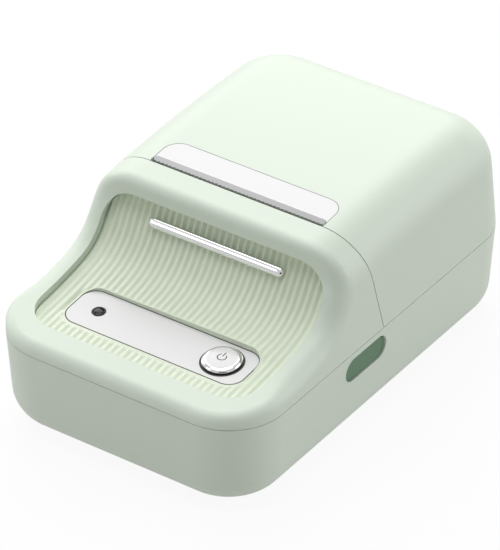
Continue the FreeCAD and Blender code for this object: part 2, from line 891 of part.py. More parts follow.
# Main board with the switch under the power button
board = block("board", ("-%s - board_side" % PLATE_HALF, "%s + board_side" % PLATE_HALF),
              ("-plate_length / 2 - board_ahead", "plate_length / 2 + board_behind"),
              ("-board_drop - board_thick", "-board_drop"))
board_hole = rod("board_hole", "Z", ("0", "plate_length / 2 + board_hole_back"), THROUGH, "board_hole_radius")
node("main_board", tilt_to_plate(cut("board_form", board, [board_hole])))
switch_block = block("switch_block", ("%s - switch_half" % BUTTON[0], "%s + switch_half" % BUTTON[0]),
                     ("-switch_half", "switch_half"),
                     ("-board_drop", "-board_drop + switch_height - plunger_rise"))
switch_hole = rod("switch_hole", "Z", BUTTON, ("-board_drop + switch_floor", "0"), "switch_bore")
node("tact_switch", tilt_to_plate(cut("switch_form", switch_block, [switch_hole])))
plunger_low = "-board_drop + plunger_lift"
plunger_foot = rod("plunger_foot", "Z", BUTTON, (plunger_low, "%s + plunger_foot_thick" % plunger_low),
                   "plunger_foot_radius")
plunger_top = rod("plunger_top", "Z", BUTTON, (plunger_low, stem_low), "plunger_radius")
node("switch_plunger", tilt_to_plate(fuse("plunger_form", [plunger_foot, plunger_top])))

# Bright trim on the steep face
trim_half = "%s - trim_side" % PANEL_HALF
trim_block = block("trim_block", ("-(%s)" % trim_half, trim_half), EVERY_Y,
                   ("%s - trim_drop - trim_height" % TOP, "%s - trim_drop" % TOP))
trim_raw = common("trim_raw", [trim_block, front_region("trim_seat", "recess_depth", "case_width")])
trim = cut("trim", trim_raw, [front_region("trim_air", "recess_depth - trim_rise", "case_width")])
node("trim_bar", trim)


def exit_outline(name, grow):
    """Exit plate outline with rounded rear corners, grown by an amount."""
    half = "%s + (%s)" % (EXIT_HALF, grow)
    rear = "%s + exit_length + (%s)" % (EXIT_Y, grow)
    form = block(name + "_block", ("-(%s)" % half, half), (EXIT_Y, rear),
                 ("%s - tool_reach" % TOP, "%s + tool_reach" % TOP))
    back = value_of(rear)
    return round_edges(name, form, "exit_corner + (%s)" % grow,
                       lambda edge: along(edge, UP) and abs(edge.BoundBox.YMin - back) < 1e-4)


# Lid shell, its hinge knuckles, catches and bracket bosses
lid_raw = common("lid_raw", [front_form, seam_half("seam_behind", 1, "seam_gap / cos(seam_lean)")])
lid_skin = cut("lid_skin", lid_raw, [upper_inner])
lid_parts = [lid_skin]
lid_cuts = []
KNUCKLE_IN = "(%s + hinge_ear_width + hinge_side_gap)" % HINGE_IN
KNUCKLE_OUT = "(%s + hinge_ear_width)" % KNUCKLE_IN
for side in (-1, 1):
    knuckle = sides(side, KNUCKLE_IN, KNUCKLE_OUT)
    lid_parts.append(rod("knuckle", "X", (AXIS_Y, AXIS_Z), knuckle, "knuckle_radius"))
    lid_parts.append(block("knuckle_web", knuckle,
                           ("%s - knuckle_radius" % AXIS_Y, "%s + web_behind" % AXIS_Y),
                           (AXIS_Z, "%s + web_height" % AXIS_Z)))
    tab = sides(side, CATCH_IN, "%s + catch_thick" % CATCH_IN)
    lid_parts.append(block("catch_tab", tab, CATCH_Y,
                           ("%s - hook_below" % RELEASE_Z, "%s + catch_rise" % PART)))
    root = sides(side, CATCH_IN, "%s + catch_root_bite" % WALL_X)
    lid_parts.append(block("catch_root", root, CATCH_Y,
                           ("%s + catch_root_low" % PART, "%s + catch_rise" % PART)))
    hook = sides(side, "%s - hook_lip" % CATCH_IN, "%s + catch_thick" % CATCH_IN)
    lid_parts.append(block("catch_hook", hook, CATCH_Y,
                           ("%s - hook_below" % RELEASE_Z, "%s + hook_above" % RELEASE_Z)))
    boss = ("%d * boss_half" % side, BOSS_Y)
    lid_parts.append(rod("bracket_boss", "Z", boss, (LIP_HIGH, "%s - boss_top" % TOP), "boss_radius"))
    lid_cuts.append(rod("boss_pilot", "Z", boss, (PLATEN_Z, "%s + boss_pilot_deep" % LIP_HIGH),
                        "boss_pilot_radius"))
    notch = sides(side, "%s - hinge_side_gap" % HINGE_IN, KNUCKLE_IN)
    lid_cuts.append(block("ear_notch", notch, ("%s - notch_ahead" % AXIS_Y, "%s + tool_reach" % BACK),
                          (PART, "%s + notch_above" % AXIS_Z)))
    bore = sides(side, HINGE_IN, "%s + 2 * hinge_ear_width + hinge_bore_spare" % HINGE_IN)
    lid_cuts.append(rod("lid_bore", "X", (AXIS_Y, AXIS_Z), bore, "hinge_pin_radius + hinge_fit"))
lid_body = fuse("lid_body", lid_parts)
relief_box = block("relief_box", EVERY_X, (AXIS_Y, "case_depth"), ("0", AXIS_Z))
relief_rod = rod("relief_rod", "X", (AXIS_Y, AXIS_Z), EVERY_X, "hinge_inset - relief_skin")
relief = cut("relief", relief_box, [relief_rod])
exit_air = cut("exit_air", exit_outline("exit_pocket", "exit_fit"),
               [lowered_crown("exit_floor", "exit_thick")])
slot_half = "%s + exit_fit" % EXIT_HALF
slot_air = block("slot_air", ("-(%s)" % slot_half, slot_half),
                 ("%s - tool_reach" % EXIT_Y, "%s + tear_thick" % EXIT_Y), (PART, "%s + tool_reach" % TOP))
lid = cut("lid_shell", lid_body, [relief, exit_air, slot_air] + lid_cuts)
node("lid", lid)

# Exit plate and tear bar
exit_raw = common("exit_raw", [exit_outline("exit_form", "0"), lowered_crown("exit_top", "0")])
exit_plate = cut("exit_slab", exit_raw, [lowered_crown("exit_under", "exit_thick")])
node("exit_plate", exit_plate)
tear_half = "%s - tear_side" % EXIT_HALF
tear_blank = block("tear_blank", ("-(%s)" % tear_half, tear_half),
                   (EXIT_Y, "%s + tear_thick - tear_fit" % EXIT_Y), ("%s - tear_height" % TOP, TOP))
tear = common("tear", [tear_blank, lowered_crown("tear_top", "exit_thick + tear_fit")])
node("tear_bar", tear)

# Platen bracket, its bushes and screws
bracket_parts = [block("bracket_top", ("-%s" % EAR_OUT, EAR_OUT),
                       ("%s - bracket_ahead" % PLATEN_Y, "%s + bracket_behind" % PLATEN_Y),
                       (LIP_LOW, LIP_HIGH))]
bracket_holes = []
bush_parts = []
screw_parts = []
for side in (-1, 1):
    ear = sides(side, EAR_IN, EAR_OUT)
    bracket_parts.append(block("bracket_ear", ear,
                               ("%s - ear_ahead" % PLATEN_Y, "%s + bracket_behind" % PLATEN_Y),
                               ("%s - ear_below" % PLATEN_Z, LIP_HIGH)))
    wide = sides(side, "%s - drill_spare" % EAR_IN, "%s + drill_spare" % EAR_OUT)
    bracket_holes.append(rod("bush_seat", "X", PLATEN, wide, "bush_radius"))
    boss = ("%d * boss_half" % side, BOSS_Y)
    bracket_holes.append(rod("bracket_hole", "Z", boss, (PLATEN_Z, TOP), "bracket_hole_radius"))
    bush = rod("bush_sleeve", "X", PLATEN, ear, "bush_radius")
    collar = sides(side, "%s - collar_thick" % EAR_IN, EAR_IN)
    flange = rod("bush_collar", "X", PLATEN, collar, "bush_radius + collar_step")
    bore = rod("bush_bore", "X", PLATEN, wide, "axle_radius + axle_fit")
    bush_parts.append(cut("bush", fuse("bush_solid", [bush, flange]), [bore]))
    shank = rod("bracket_shank", "Z", boss, ("%s - bracket_head_height / 2" % LIP_LOW,
                                             "%s + boss_pilot_deep - pilot_spare" % LIP_HIGH),
                "bracket_screw_radius")
    head = rod("bracket_head", "Z", boss, ("%s - bracket_head_height" % LIP_LOW, LIP_LOW),
               "bracket_head_radius")
    screw_parts.append(fuse("bracket_screw", [shank, head]))
node("platen_bracket", cut("bracket", fuse("bracket_body", bracket_parts), bracket_holes))
group("platen_bushes", bush_parts)
group("bracket_screws", screw_parts)

FLANK_STEPS = 4


def involute_face(teeth, module, phase):
    """Flat gear outline in a local plane, with one tooth centred on the phase angle."""
    press = math.radians(value_of("press_angle"))
    pitch_radius = module * teeth / 2
    base_radius = pitch_radius * math.cos(press)
    tip = pitch_radius + value_of("tooth_above") * module
    root = pitch_radius - value_of("tooth_below") * module
    half = (math.pi * module / 2 - value_of("tooth_play")) / 2 / pitch_radius
    roll = math.tan(press) - press

    def half_angle(radius):
        if radius <= base_radius:
            return half + roll
        turn = math.acos(base_radius / radius)
        return half + roll - (math.tan(turn) - turn)

    low = max(root, base_radius)
    radii = [low + (tip - low) * step / FLANK_STEPS for step in range(FLANK_STEPS + 1)]
    points = []
    for tooth in range(teeth):
        middle = phase + 2 * math.pi * tooth / teeth
        rising = [(radius, middle - half_angle(radius)) for radius in radii]
        falling = [(radius, middle + half_angle(radius)) for radius in reversed(radii)]
        start = [(root, middle - half_angle(low))] if root < low else []
        end = [(root, middle + half_angle(low))] if root < low else []
        points += start + rising + falling + end
    spots = [FreeCAD.Vector(radius * math.cos(turn), radius * math.sin(turn), 0) for radius, turn in points]
    return Part.Face(Part.makePolygon(spots + [spots[0]]))


def gear(name, teeth, module, phase, bore, width):
    """Spur gear about its own Z axis."""
    face = involute_face(int(value_of(teeth)), value_of(module), phase)
    solid = face.extrude(FreeCAD.Vector(0, 0, value_of(width)))
    hole = Part.makeCylinder(value_of(bore), value_of(width) * 3, FreeCAD.Vector(0, 0, -value_of(width)))
    item = DOC.addObject("Part::Feature", name)
    item.Shape = solid.cut(hole)
    return item


def stand_along_x(item, centre, start):
    """Turn a piece so that its Z axis runs along X and bind its centre."""
    item.Placement.Rotation = FreeCAD.Rotation(FreeCAD.Vector(1, 1, 1), 120)
    place(item, start, centre[0], centre[1])
    return item


# Gear centres: the idler hangs below the platen along the way the lid lifts it off
GEAR_FAR = "(-%s - gear_gap - gear_width)" % EAR_OUT
LIFT_Y = "(%s - %s)" % (PLATEN_Z, AXIS_Z)
LIFT_Z = "(%s - %s)" % (AXIS_Y, PLATEN_Y)
LIFT = "sqrt(%s^2 + %s^2)" % (LIFT_Y, LIFT_Z)
IDLER_REACH = "(gear_module * (platen_teeth + idler_teeth) / 2)"
IDLER_Y = "(%s - %s * %s / %s)" % (PLATEN_Y, IDLER_REACH, LIFT_Y, LIFT)
IDLER_Z = "(%s - %s * %s / %s)" % (PLATEN_Z, IDLER_REACH, LIFT_Z, LIFT)
IDLER = (IDLER_Y, IDLER_Z)
MOTOR_REACH = "(gear_module * (idler_teeth + motor_teeth) / 2)"
MOTOR_Y = "(%s - %s * sin(motor_turn))" % (IDLER_Y, MOTOR_REACH)
MOTOR_Z = "(%s - %s * cos(motor_turn))" % (IDLER_Z, MOTOR_REACH)
MOTOR = (MOTOR_Y, MOTOR_Z)
down = math.atan2(-value_of(LIFT_Z), -value_of(LIFT_Y))
back_up = down + math.pi
next_down = math.atan2(value_of("%s - %s" % (MOTOR_Z, IDLER_Z)), value_of("%s - %s" % (MOTOR_Y, IDLER_Y)))
idler_count = int(value_of("idler_teeth"))
motor_count = int(value_of("motor_teeth"))
idler_phase = back_up + math.pi / idler_count
motor_lead = idler_count * (idler_phase - next_down) / (2 * math.pi)
motor_phase = next_down + math.pi + (0.5 - motor_lead) * 2 * math.pi / motor_count

# Platen roller and the gears that drive it
platen_span = ("-%s" % PLATEN_HALF, PLATEN_HALF)
core = rod("platen_core", "X", PLATEN, platen_span, "platen_core_radius")
axle = rod("platen_axle", "X", PLATEN, ("%s - axle_over" % GEAR_FAR, "%s + axle_end" % EAR_OUT),
           "axle_radius")
node("platen_shaft", fuse("platen_steel", [core, axle]))
sleeve = rod("platen_sleeve", "X", PLATEN, platen_span, "platen_radius")
hollow = rod("platen_hollow", "X", PLATEN, EVERY_X, "platen_core_radius")
node("platen_rubber", cut("platen_cover", sleeve, [hollow]))
platen_wheel = gear("platen_wheel", "platen_teeth", "gear_module", down, "axle_radius", "gear_width")
node("platen_gear", stand_along_x(platen_wheel, PLATEN, GEAR_FAR))
idler_wheel = gear("idler_wheel", "idler_teeth", "gear_module", idler_phase, "post_radius + axle_fit",
                   "gear_width")
node("idler_gear", stand_along_x(idler_wheel, IDLER, GEAR_FAR))
motor_wheel = gear("motor_wheel", "motor_teeth", "gear_module", motor_phase, "post_radius", "gear_width")
node("motor_pinion", stand_along_x(motor_wheel, MOTOR, GEAR_FAR))
idler_pin = rod("idler_pin", "X", IDLER, ("%s - post_over" % GEAR_FAR, "-%s" % WING_IN), "post_radius")
node("idler_post", idler_pin)

# Motor
MOUNT_X = "(mount_thick - %s)" % WING_IN
can = rod("motor_can", "X", MOTOR, (MOUNT_X, "motor_length - %s" % WING_IN), "motor_radius")
mount = block("motor_mount", ("-%s" % WING_IN, MOUNT_X),
              ("%s - mount_half" % MOTOR_Y, "%s + mount_half" % MOTOR_Y),
              ("%s - motor_radius" % MOTOR_Z, "%s + motor_radius" % MOTOR_Z))
motor_bore = rod("motor_bore", "X", MOTOR, ("-case_width", "motor_bore_deep - %s" % WING_IN),
                 "post_radius + axle_fit")
node("motor_body", cut("motor", fuse("motor_solid", [can, mount]), [motor_bore]))
shaft_span = ("%s - shaft_over" % GEAR_FAR, "motor_bore_deep - shaft_over - %s" % WING_IN)
node("motor_shaft", rod("motor_rod", "X", MOTOR, shaft_span, "post_radius"))

# Mechanism frame: two wings, a beam and the ears of the head pivot
frame_parts = []
left_wing = ("-case_width", "drill_spare - %s" % WING_IN)
frame_holes = [rod("motor_eye", "X", MOTOR, left_wing, "post_radius + motor_eye_room"),
               rod("idler_eye", "X", IDLER, left_wing, "post_radius"),
               rod("pivot_eye", "X", (PIVOT_Y, PIVOT_Z), EVERY_X, "pivot_radius")]
WING_FRONT = "%s - wing_ahead" % BEAM_Y
BEAM_BACK = "%s + beam_thick" % BEAM_Y
BEAM_TOP = "%s - wing_drop" % PLATEN_Z
BEAM_LOW = "%s - beam_drop" % PLATEN_Z
EAR_HIGH = "%s + pivot_ear_above" % PIVOT_Z
wing_line = [(WING_FRONT, INSIDE), (BEAM_BACK, INSIDE), (BEAM_BACK, BEAM_TOP),
             ("%s - wing_slope_ahead" % BEAM_Y, BEAM_TOP), (WING_FRONT, "%s - wing_slope_drop" % PLATEN_Z)]
ear_line = [("%s + pivot_ear_bite" % BEAM_Y, BEAM_LOW), ("%s + pivot_ear_bite" % BEAM_Y, BEAM_TOP),
            ("%s - pivot_ear_back" % BEAM_Y, "%s - pivot_ear_drop" % PLATEN_Z),
            ("%s - pivot_ear_neck" % BEAM_Y, EAR_HIGH), ("%s - pivot_ear_ahead" % PIVOT_Y, EAR_HIGH),
            ("%s - pivot_ear_ahead" % PIVOT_Y, "%s - pivot_ear_below" % PIVOT_Z)]
for side in (-1, 1):
    frame_parts.append(prism("wing", "X", wing_line, sides(side, WING_IN, "%s + wing_thick" % WING_IN)))
    frame_parts.append(block("wing_foot", sides(side, WING_IN, "%s + wing_foot_wide" % WING_IN),
                             (WING_FRONT, "%s - wing_foot_short" % BEAM_Y),
                             (INSIDE, "%s + wing_foot_thick" % INSIDE)))
    frame_parts.append(prism("pivot_ear", "X", ear_line, sides(side, *PIVOT_EAR)))
frame_parts.append(block("beam", ("-%s" % WING_IN, WING_IN), (BEAM_Y, BEAM_BACK), (BEAM_LOW, BEAM_TOP)))
node("mech_frame", cut("frame", fuse("frame_body", frame_parts), frame_holes))
pivot_half = "%s - pivot_pin_short" % HEAD_HALF
node("head_pivot_pin",
     rod("pivot_rod", "X", (PIVOT_Y, PIVOT_Z), ("-(%s)" % pivot_half, pivot_half), "pivot_radius"))

# Print head
HEAD_FACE = "%s - ceramic_thick" % HEAD_Y
HEAD_LOW = "%s - head_below" % PLATEN_Z
head_slab = block("head_slab", ("-%s" % HEAD_HALF, HEAD_HALF), ("%s - head_thick" % HEAD_FACE, HEAD_FACE),
                  (HEAD_LOW, "%s + head_above" % PLATEN_Z))
head_cuts = [rod("head_bore", "X", (PIVOT_Y, PIVOT_Z), EVERY_X, "pivot_radius + pivot_fit")]
for side in (-1, 1):
    notch = sides(side, "%s - pivot_ear_gap" % PIVOT_EAR[0], "%s + pivot_ear_gap" % PIVOT_EAR[1])
    head_cuts.append(block("head_notch", notch, EVERY_Y,
                           ("%s - drill_spare" % HEAD_LOW, "%s + head_notch_room" % EAR_HIGH)))
node("head_plate", cut("head", head_slab, head_cuts))
ceramic_half = "%s - ceramic_edge" % HEAD_HALF
ceramic = block("ceramic", ("-(%s)" % ceramic_half, ceramic_half), (HEAD_FACE, HEAD_Y),
                ("%s + ceramic_low" % PIVOT_Z, "%s + head_above - ceramic_edge" % PLATEN_Z))
node("head_ceramic", ceramic)
near = "%s + head_leaf_gap" % HEAD_FACE
far = "%s - leaf_seat" % BEAM_Y
low = "%s + head_leaf_low" % HEAD_LOW
high = "%s + head_leaf_high" % HEAD_LOW
near_face = "%s + head_leaf_thick" % near
far_face = "%s - head_leaf_thick" % far
bend = "%s + head_leaf_thick" % low
leaf_line = [(near, high), (near, low), (far, low), (far, high), (far_face, high),
             (far_face, bend), (near_face, bend), (near_face, high)]
leaf_span = ("head_leaf_inner", "head_leaf_inner + head_leaf_wide")
group("head_springs", [prism("head_leaf", "X", leaf_line, sides(side, *leaf_span)) for side in (-1, 1)])


def stadium(name, side, span, long, tall):
    """Round-ended bar across a side wall, centred on a release button."""
    reach = "((%s) - (%s)) / 2" % (long, tall)
    x = sides(side, span[0], span[1])
    parts = [block(name + "_mid", x, ("%s - %s" % (RELEASE_Y, reach), "%s + %s" % (RELEASE_Y, reach)),
                   ("%s - (%s) / 2" % (RELEASE_Z, tall), "%s + (%s) / 2" % (RELEASE_Z, tall)))]
    for end in (-1, 1):
        centre = ("%s + %d * %s" % (RELEASE_Y, end, reach), RELEASE_Z)
        parts.append(rod(name + "_end", "X", centre, x, "(%s) / 2" % tall))
    return fuse(name, parts)


# Base tub
base_parts = [cut("base_skin", base_outer, [base_inner])]
base_holes = []
pin_parts = []
for side in (-1, 1):
    ear = sides(side, HINGE_IN, "%s + hinge_ear_width" % HINGE_IN)
    base_parts.append(block("ear_root", ear,
                            ("%s - knuckle_radius" % AXIS_Y, "%s + ear_root_behind" % AXIS_Y),
                            ("%s - ear_root_deep" % PART, "%s - ear_root_top" % PART)))
    base_parts.append(block("ear_post", ear, ("%s - knuckle_radius" % AXIS_Y, "%s + knuckle_radius" % AXIS_Y),
                            ("%s - ear_post_bite" % PART, AXIS_Z)))
    base_parts.append(rod("ear_top", "X", (AXIS_Y, AXIS_Z), ear, "knuckle_radius"))
    base_holes.append(rod("ear_bore", "X", (AXIS_Y, AXIS_Z), ear, "hinge_pin_radius"))
    pin = sides(side, "%s - hinge_pin_over" % HINGE_IN, "%s + hinge_pin_over" % KNUCKLE_OUT)
    pin_parts.append(rod("hinge_pin", "X", (AXIS_Y, AXIS_Z), pin, "hinge_pin_radius"))
    base_parts.append(block("spring_seat", sides(side, SEAT_IN, SEAT_OUT),
                            ("%s - leaf_thick" % LEAF_Y, "%s + leaf_long" % LEAF_Y),
                            (IN_FLOOR, "%s + seat_above" % RELEASE_Z)))
    shelf = sides(side, "%s - shelf_inset" % WALL_X, "%s - shelf_inset + shelf_thick" % WALL_X)
    shelf_z = ("%s + shelf_lift" % INSIDE, "%s - slide_half - shelf_gap" % RELEASE_Z)
    base_parts.append(block("shelf_ahead", shelf, ("%s - shelf_ahead - shelf_wide" % RELEASE_Y,
                                                   "%s - shelf_ahead" % RELEASE_Y), shelf_z))
    base_parts.append(block("shelf_behind", shelf, ("%s + shelf_behind" % RELEASE_Y,
                                                    "%s + shelf_behind + shelf_wide" % RELEASE_Y), shelf_z))
    base_holes.append(stadium("release_window", side, ("case_width / 2 - release_window_deep",
                                                       "case_width / 2 + tool_reach"),
                              "release_length", "release_tall"))
    base_parts.append(block("battery_rail", sides(side, "rail_inner", "rail_inner + rail_thick"),
                            ("%s + battery_front + rail_short" % FRONT,
                             "%s + battery_front + battery_width - rail_short" % FRONT),
                            (IN_FLOOR, "%s + rail_height" % INSIDE)))
    base_parts.append(rod("port_post", "Z", ("%d * port_post_half" % side, "%s - port_post_ahead" % PORT_Y),
                          (IN_FLOOR, "%s - port_board_thick" % PORT_LOW), "port_post_radius"))
foot_parts = []
screw_set = []
for spot in FEET:
    base_holes.append(rod("foot_pocket", "Z", spot, ("-tool_reach", "foot_height + foot_sink"),
                          "foot_radius + foot_fit"))
    foot_parts.append(rod("foot_disc", "Z", spot, ("0", "foot_height + foot_sink"), "foot_radius"))
SINK_TOP = "(foot_height + screw_sink_deep)"
SCREW_TIP = "(%s + screw_bite)" % INSIDE
for spot in LEGS:
    base_holes.append(rod("screw_sink", "Z", spot, ("0", SINK_TOP), "screw_sink_radius"))
    base_holes.append(rod("screw_way", "Z", spot, ("0", "%s + drill_spare" % INSIDE), "screw_way_radius"))
    head = rod("case_screw_head", "Z", spot, ("%s - screw_head_height" % SINK_TOP, SINK_TOP),
               "screw_head_radius")
    shank = rod("case_screw_shank", "Z", spot, ("%s - screw_head_height / 2" % SINK_TOP, SCREW_TIP),
                "screw_radius")
    screw_set.append(fuse("case_screw", [head, shank]))
RACK_LOW = "(%s + rack_lift)" % INSIDE
base_parts.append(rod("pinion_post", "Z", ("0", BIN_Y), (IN_FLOOR, "%s + rack_height" % RACK_LOW),
                      "pinion_post_radius"))
port_half = "port_width / 2 + port_fit"
port_hole = block("port_hole", ("-(%s)" % port_half, port_half),
                  ("%s - tool_reach" % BACK, "%s + tool_reach" % BACK),
                  ("%s - port_fit" % PORT_LOW, "%s + port_fit" % PORT_HIGH))
base_holes.append(round_edges("port_way", port_hole, "port_height / 2", lambda edge: along(edge, AHEAD)))
node("base_case", cut("base", fuse("base_body", base_parts), base_holes))
group("hinge_pins", pin_parts)
group("feet", foot_parts)
group("case_screws", screw_set)

# Charging socket and its board
shell_form = block("port_block", ("-port_width / 2", "port_width / 2"), ("%s - port_depth" % PORT_Y, PORT_Y),
                   (PORT_LOW, PORT_HIGH))
shell_round = round_edges("port_round", shell_form, "port_height / 2 - port_edge",
                          lambda edge: along(edge, AHEAD))
bore_form = block("port_bore", ("port_wall - port_width / 2", "port_width / 2 - port_wall"),
                  ("%s - port_depth + port_end_wall" % PORT_Y, "%s + drill_spare" % PORT_Y),
                  ("%s + port_wall" % PORT_LOW, "%s - port_wall" % PORT_HIGH))
bore_round = round_edges("port_bore_round", bore_form, "port_height / 2 - port_wall - port_edge",
                         lambda edge: along(edge, AHEAD))
tongue = block("port_tongue", ("-tongue_half", "tongue_half"),
               ("%s - port_depth + tongue_root" % PORT_Y, "%s - tongue_sink" % PORT_Y),
               ("%s - tongue_thick / 2" % PORT_Z, "%s + tongue_thick / 2" % PORT_Z))
node("usb_port", fuse("port", [cut("port_shell", shell_round, [bore_round]), tongue]))
node("charge_board", block("port_board", ("-port_board_half", "port_board_half"),
                           ("%s - port_board_deep" % PORT_Y, "%s - port_board_gap" % PORT_Y),
                           ("%s - port_board_thick" % PORT_LOW, PORT_LOW)))

# Battery
battery_half = "%s - battery_side" % WALL_X
battery_low = "%s + rail_height" % INSIDE
pack_block = block("pack_block", ("-(%s)" % battery_half, battery_half),
                   ("%s + battery_front" % FRONT, "%s + battery_front + battery_width" % FRONT),
                   (battery_low, "%s + battery_height" % battery_low))
node("battery", round_edges("pack", pack_block, "battery_round", lambda edge: along(edge, ACROSS)))

# Release buttons, latch slides and their springs
CAP_FACE = "case_width / 2 - release_drop * tan(base_draft) - release_sink"
NOSE_OUT = "%s - hook_lip - latch_clear" % CATCH_IN
for side, word in ((-1, "left"), (1, "right")):
    cap = stadium("release_cap_" + word, side, (FLANGE_IN, CAP_FACE),
                  "release_length - 2 * release_fit", "release_tall - 2 * release_fit")
    flange = stadium("release_flange_" + word, side, (FLANGE_IN, "%s + flange_thick" % FLANGE_IN),
                     "release_length + flange_over", "release_tall + flange_over")
    node("release_button_" + word, fuse("release_form_" + word, [cap, flange]))
    bar = block("slide_bar_" + word, sides(side, SLIDE_IN, "%s + slide_thick" % SLIDE_IN),
                ("%s - slide_ahead" % RELEASE_Y, NOSE_Y[1]),
                ("%s - slide_half" % RELEASE_Z, "%s + slide_half" % RELEASE_Z))
    stalk = block("slide_stalk_" + word, sides(side, SLIDE_IN, FLANGE_IN),
                  ("%s - stalk_half" % RELEASE_Y, "%s + stalk_half" % RELEASE_Y),
                  ("%s - stalk_rise" % RELEASE_Z, "%s + stalk_rise" % RELEASE_Z))
    nose = block("slide_nose_" + word, sides(side, SLIDE_IN, NOSE_OUT), NOSE_Y,
                 ("%s + hook_above + latch_clear" % RELEASE_Z, "%s + slide_half" % RELEASE_Z))
    node("latch_slide_" + word, fuse("slide_form_" + word, [bar, stalk, nose]))
    near = "%d * (%s + leaf_seat)" % (side, SEAT_OUT)
    near_face = "%d * (%s + leaf_seat + leaf_thick)" % (side, SEAT_OUT)
    far = "%d * (%s - leaf_seat)" % (side, SLIDE_IN)
    far_face = "%d * (%s - leaf_seat - leaf_thick)" % (side, SLIDE_IN)
    end = "%s + leaf_long" % LEAF_Y
    bend = "%s + leaf_long - leaf_thick" % LEAF_Y
    leaf = [(near, LEAF_Y), (near, end), (far, end), (far, LEAF_Y), (far_face, LEAF_Y),
            (far_face, bend), (near_face, bend), (near_face, LEAF_Y)]
    node("release_spring_" + word, prism("release_leaf_" + word, "Z", leaf,
                                         ("%s - leaf_below" % RELEASE_Z, "%s + leaf_above" % RELEASE_Z)))

# Roll bin
bin_wide = ("-%s - bin_thick" % BIN_HALF, "%s + bin_thick" % BIN_HALF)
bin_outer = rod("bin_outer", "X", (BIN_Y, BIN_Z), bin_wide, "bin_radius + bin_thick")
bin_air = block("bin_air", EVERY_X, ("-case_depth", "case_depth"), (BIN_Z, "case_depth"))
bin_parts = [cut("bin_half_pipe", bin_outer, [bin_air])]
bin_cuts = [rod("bin_inner", "X", (BIN_Y, BIN_Z), ("-%s" % BIN_HALF, BIN_HALF), "bin_radius")]
for spot in LEGS:
    bin_parts.append(rod("bin_leg", "Z", spot, (INSIDE, BIN_Z), "leg_radius"))
    bin_cuts.append(rod("bin_pilot", "Z", spot, ("0", "%s + pilot_spare" % SCREW_TIP), "leg_pilot_radius"))
RACK = "(rack_module * rack_teeth / 2)"
NECK_NEAR = "(%s + neck_step)" % RACK
NECK_FAR = "(%s + neck_wide)" % NECK_NEAR
NECKS = {-1: ("%s - %s" % (BIN_Y, NECK_FAR), "%s - %s" % (BIN_Y, NECK_NEAR)),
         1: ("%s + %s" % (BIN_Y, NECK_NEAR), "%s + %s" % (BIN_Y, NECK_FAR))}
for side in (-1, 1):
    wide = ("%s - neck_gap" % NECKS[side][0], "%s + neck_gap" % NECKS[side][1])
    slot = sides(side, "%s - guide_travel - guide_slot_spare" % GUIDE_IN, "%s + guide_slot_spare" % GUIDE_OUT)
    bin_cuts.append(block("guide_slot", slot, wide, ("0", BIN_Z)))
node("roll_bin", cut("bin", fuse("bin_body", bin_parts), bin_cuts))


def rack_teeth_line():
    """Toothed outline of the rack bar in front of the pinion, its pitch line through the pinion's."""
    module = value_of("rack_module")
    step = math.pi * module
    lean = math.tan(math.radians(value_of("press_angle")))
    above = value_of("tooth_above") * module
    below = value_of("tooth_below") * module
    root = -value_of(RACK) - below
    tip = -value_of(RACK) + above
    thick = step / 4 - value_of("tooth_play") / 2
    first = -value_of(GUIDE_OUT)
    last = value_of("rack_over")
    rear = root - value_of("rack_bar")
    spare = int(value_of("rack_spare_teeth"))
    line = [FreeCAD.Vector(first, rear, 0), FreeCAD.Vector(first, root, 0)]
    for index in range(-math.ceil(value_of("guide_travel") / step) - spare, spare):
        middle = (index + 0.5) * step
        line.append(FreeCAD.Vector(middle - thick - below * lean, root, 0))
        line.append(FreeCAD.Vector(middle - thick + above * lean, tip, 0))
        line.append(FreeCAD.Vector(middle + thick - above * lean, tip, 0))
        line.append(FreeCAD.Vector(middle + thick + below * lean, root, 0))
    return line + [FreeCAD.Vector(last, root, 0), FreeCAD.Vector(last, rear, 0)]


# Media guides on racks, driven together by a small pinion
rack_line = rack_teeth_line()
rack_face = Part.Face(Part.makePolygon(rack_line + [rack_line[0]]))
rack_solid = rack_face.extrude(FreeCAD.Vector(0, 0, value_of("rack_height")))
for side, word in ((-1, "left"), (1, "right")):
    rack = DOC.addObject("Part::Feature", "rack_" + word)
    rack.Shape = rack_solid
    rack.Placement.Rotation = FreeCAD.Rotation(UP, 0 if side < 0 else 180)
    place(rack, "0", BIN_Y, RACK_LOW)
    span = sides(side, GUIDE_IN, GUIDE_OUT)
    disc = rod("guide_disc_" + word, "X", (BIN_Y, BIN_Z), span, GUIDE_RADIUS)
    notch = rod("guide_notch_" + word, "X", (BIN_Y, "%s + guide_notch_rise" % BIN_Z), EVERY_X,
                "guide_notch_radius")
    flank = cut("guide_flank_" + word, disc, [notch])
    neck = block("guide_neck_" + word, span, NECKS[side],
                 (RACK_LOW, "%s - %s + neck_bite" % (BIN_Z, GUIDE_RADIUS)))
    node("media_guide_" + word, fuse("guide_form_" + word, [flank, neck, rack]))
pinion = gear("guide_wheel", "rack_teeth", "rack_module", math.pi / 2, "pinion_post_radius + axle_fit",
              "rack_height")
place(pinion, "0", BIN_Y, RACK_LOW)
node("guide_pinion", pinion)

# Label gap sensor on the beam
node("label_sensor", block("sensor", ("-sensor_half", "sensor_half"),
                           ("%s + sensor_inset" % BEAM_Y, "%s - sensor_inset" % BEAM_BACK),
                           (BEAM_TOP, "%s + sensor_height" % BEAM_TOP)))

DOC.recompute()
os.makedirs("parts", exist_ok=True)
for label, item in NODES:
    if "Invalid" in item.State or "Error" in item.State:
        raise RuntimeError("piece %s did not build: %s" % (label, item.getStatusString()))
    if item.Shape.isNull() or not item.Shape.isValid():
        raise RuntimeError("piece %s is not a sound solid" % label)
    item.Shape.exportStep("parts/%s.step" % label)
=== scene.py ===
"""Looks of a compact label printer: finishes, fine surface forms, studio light and camera."""

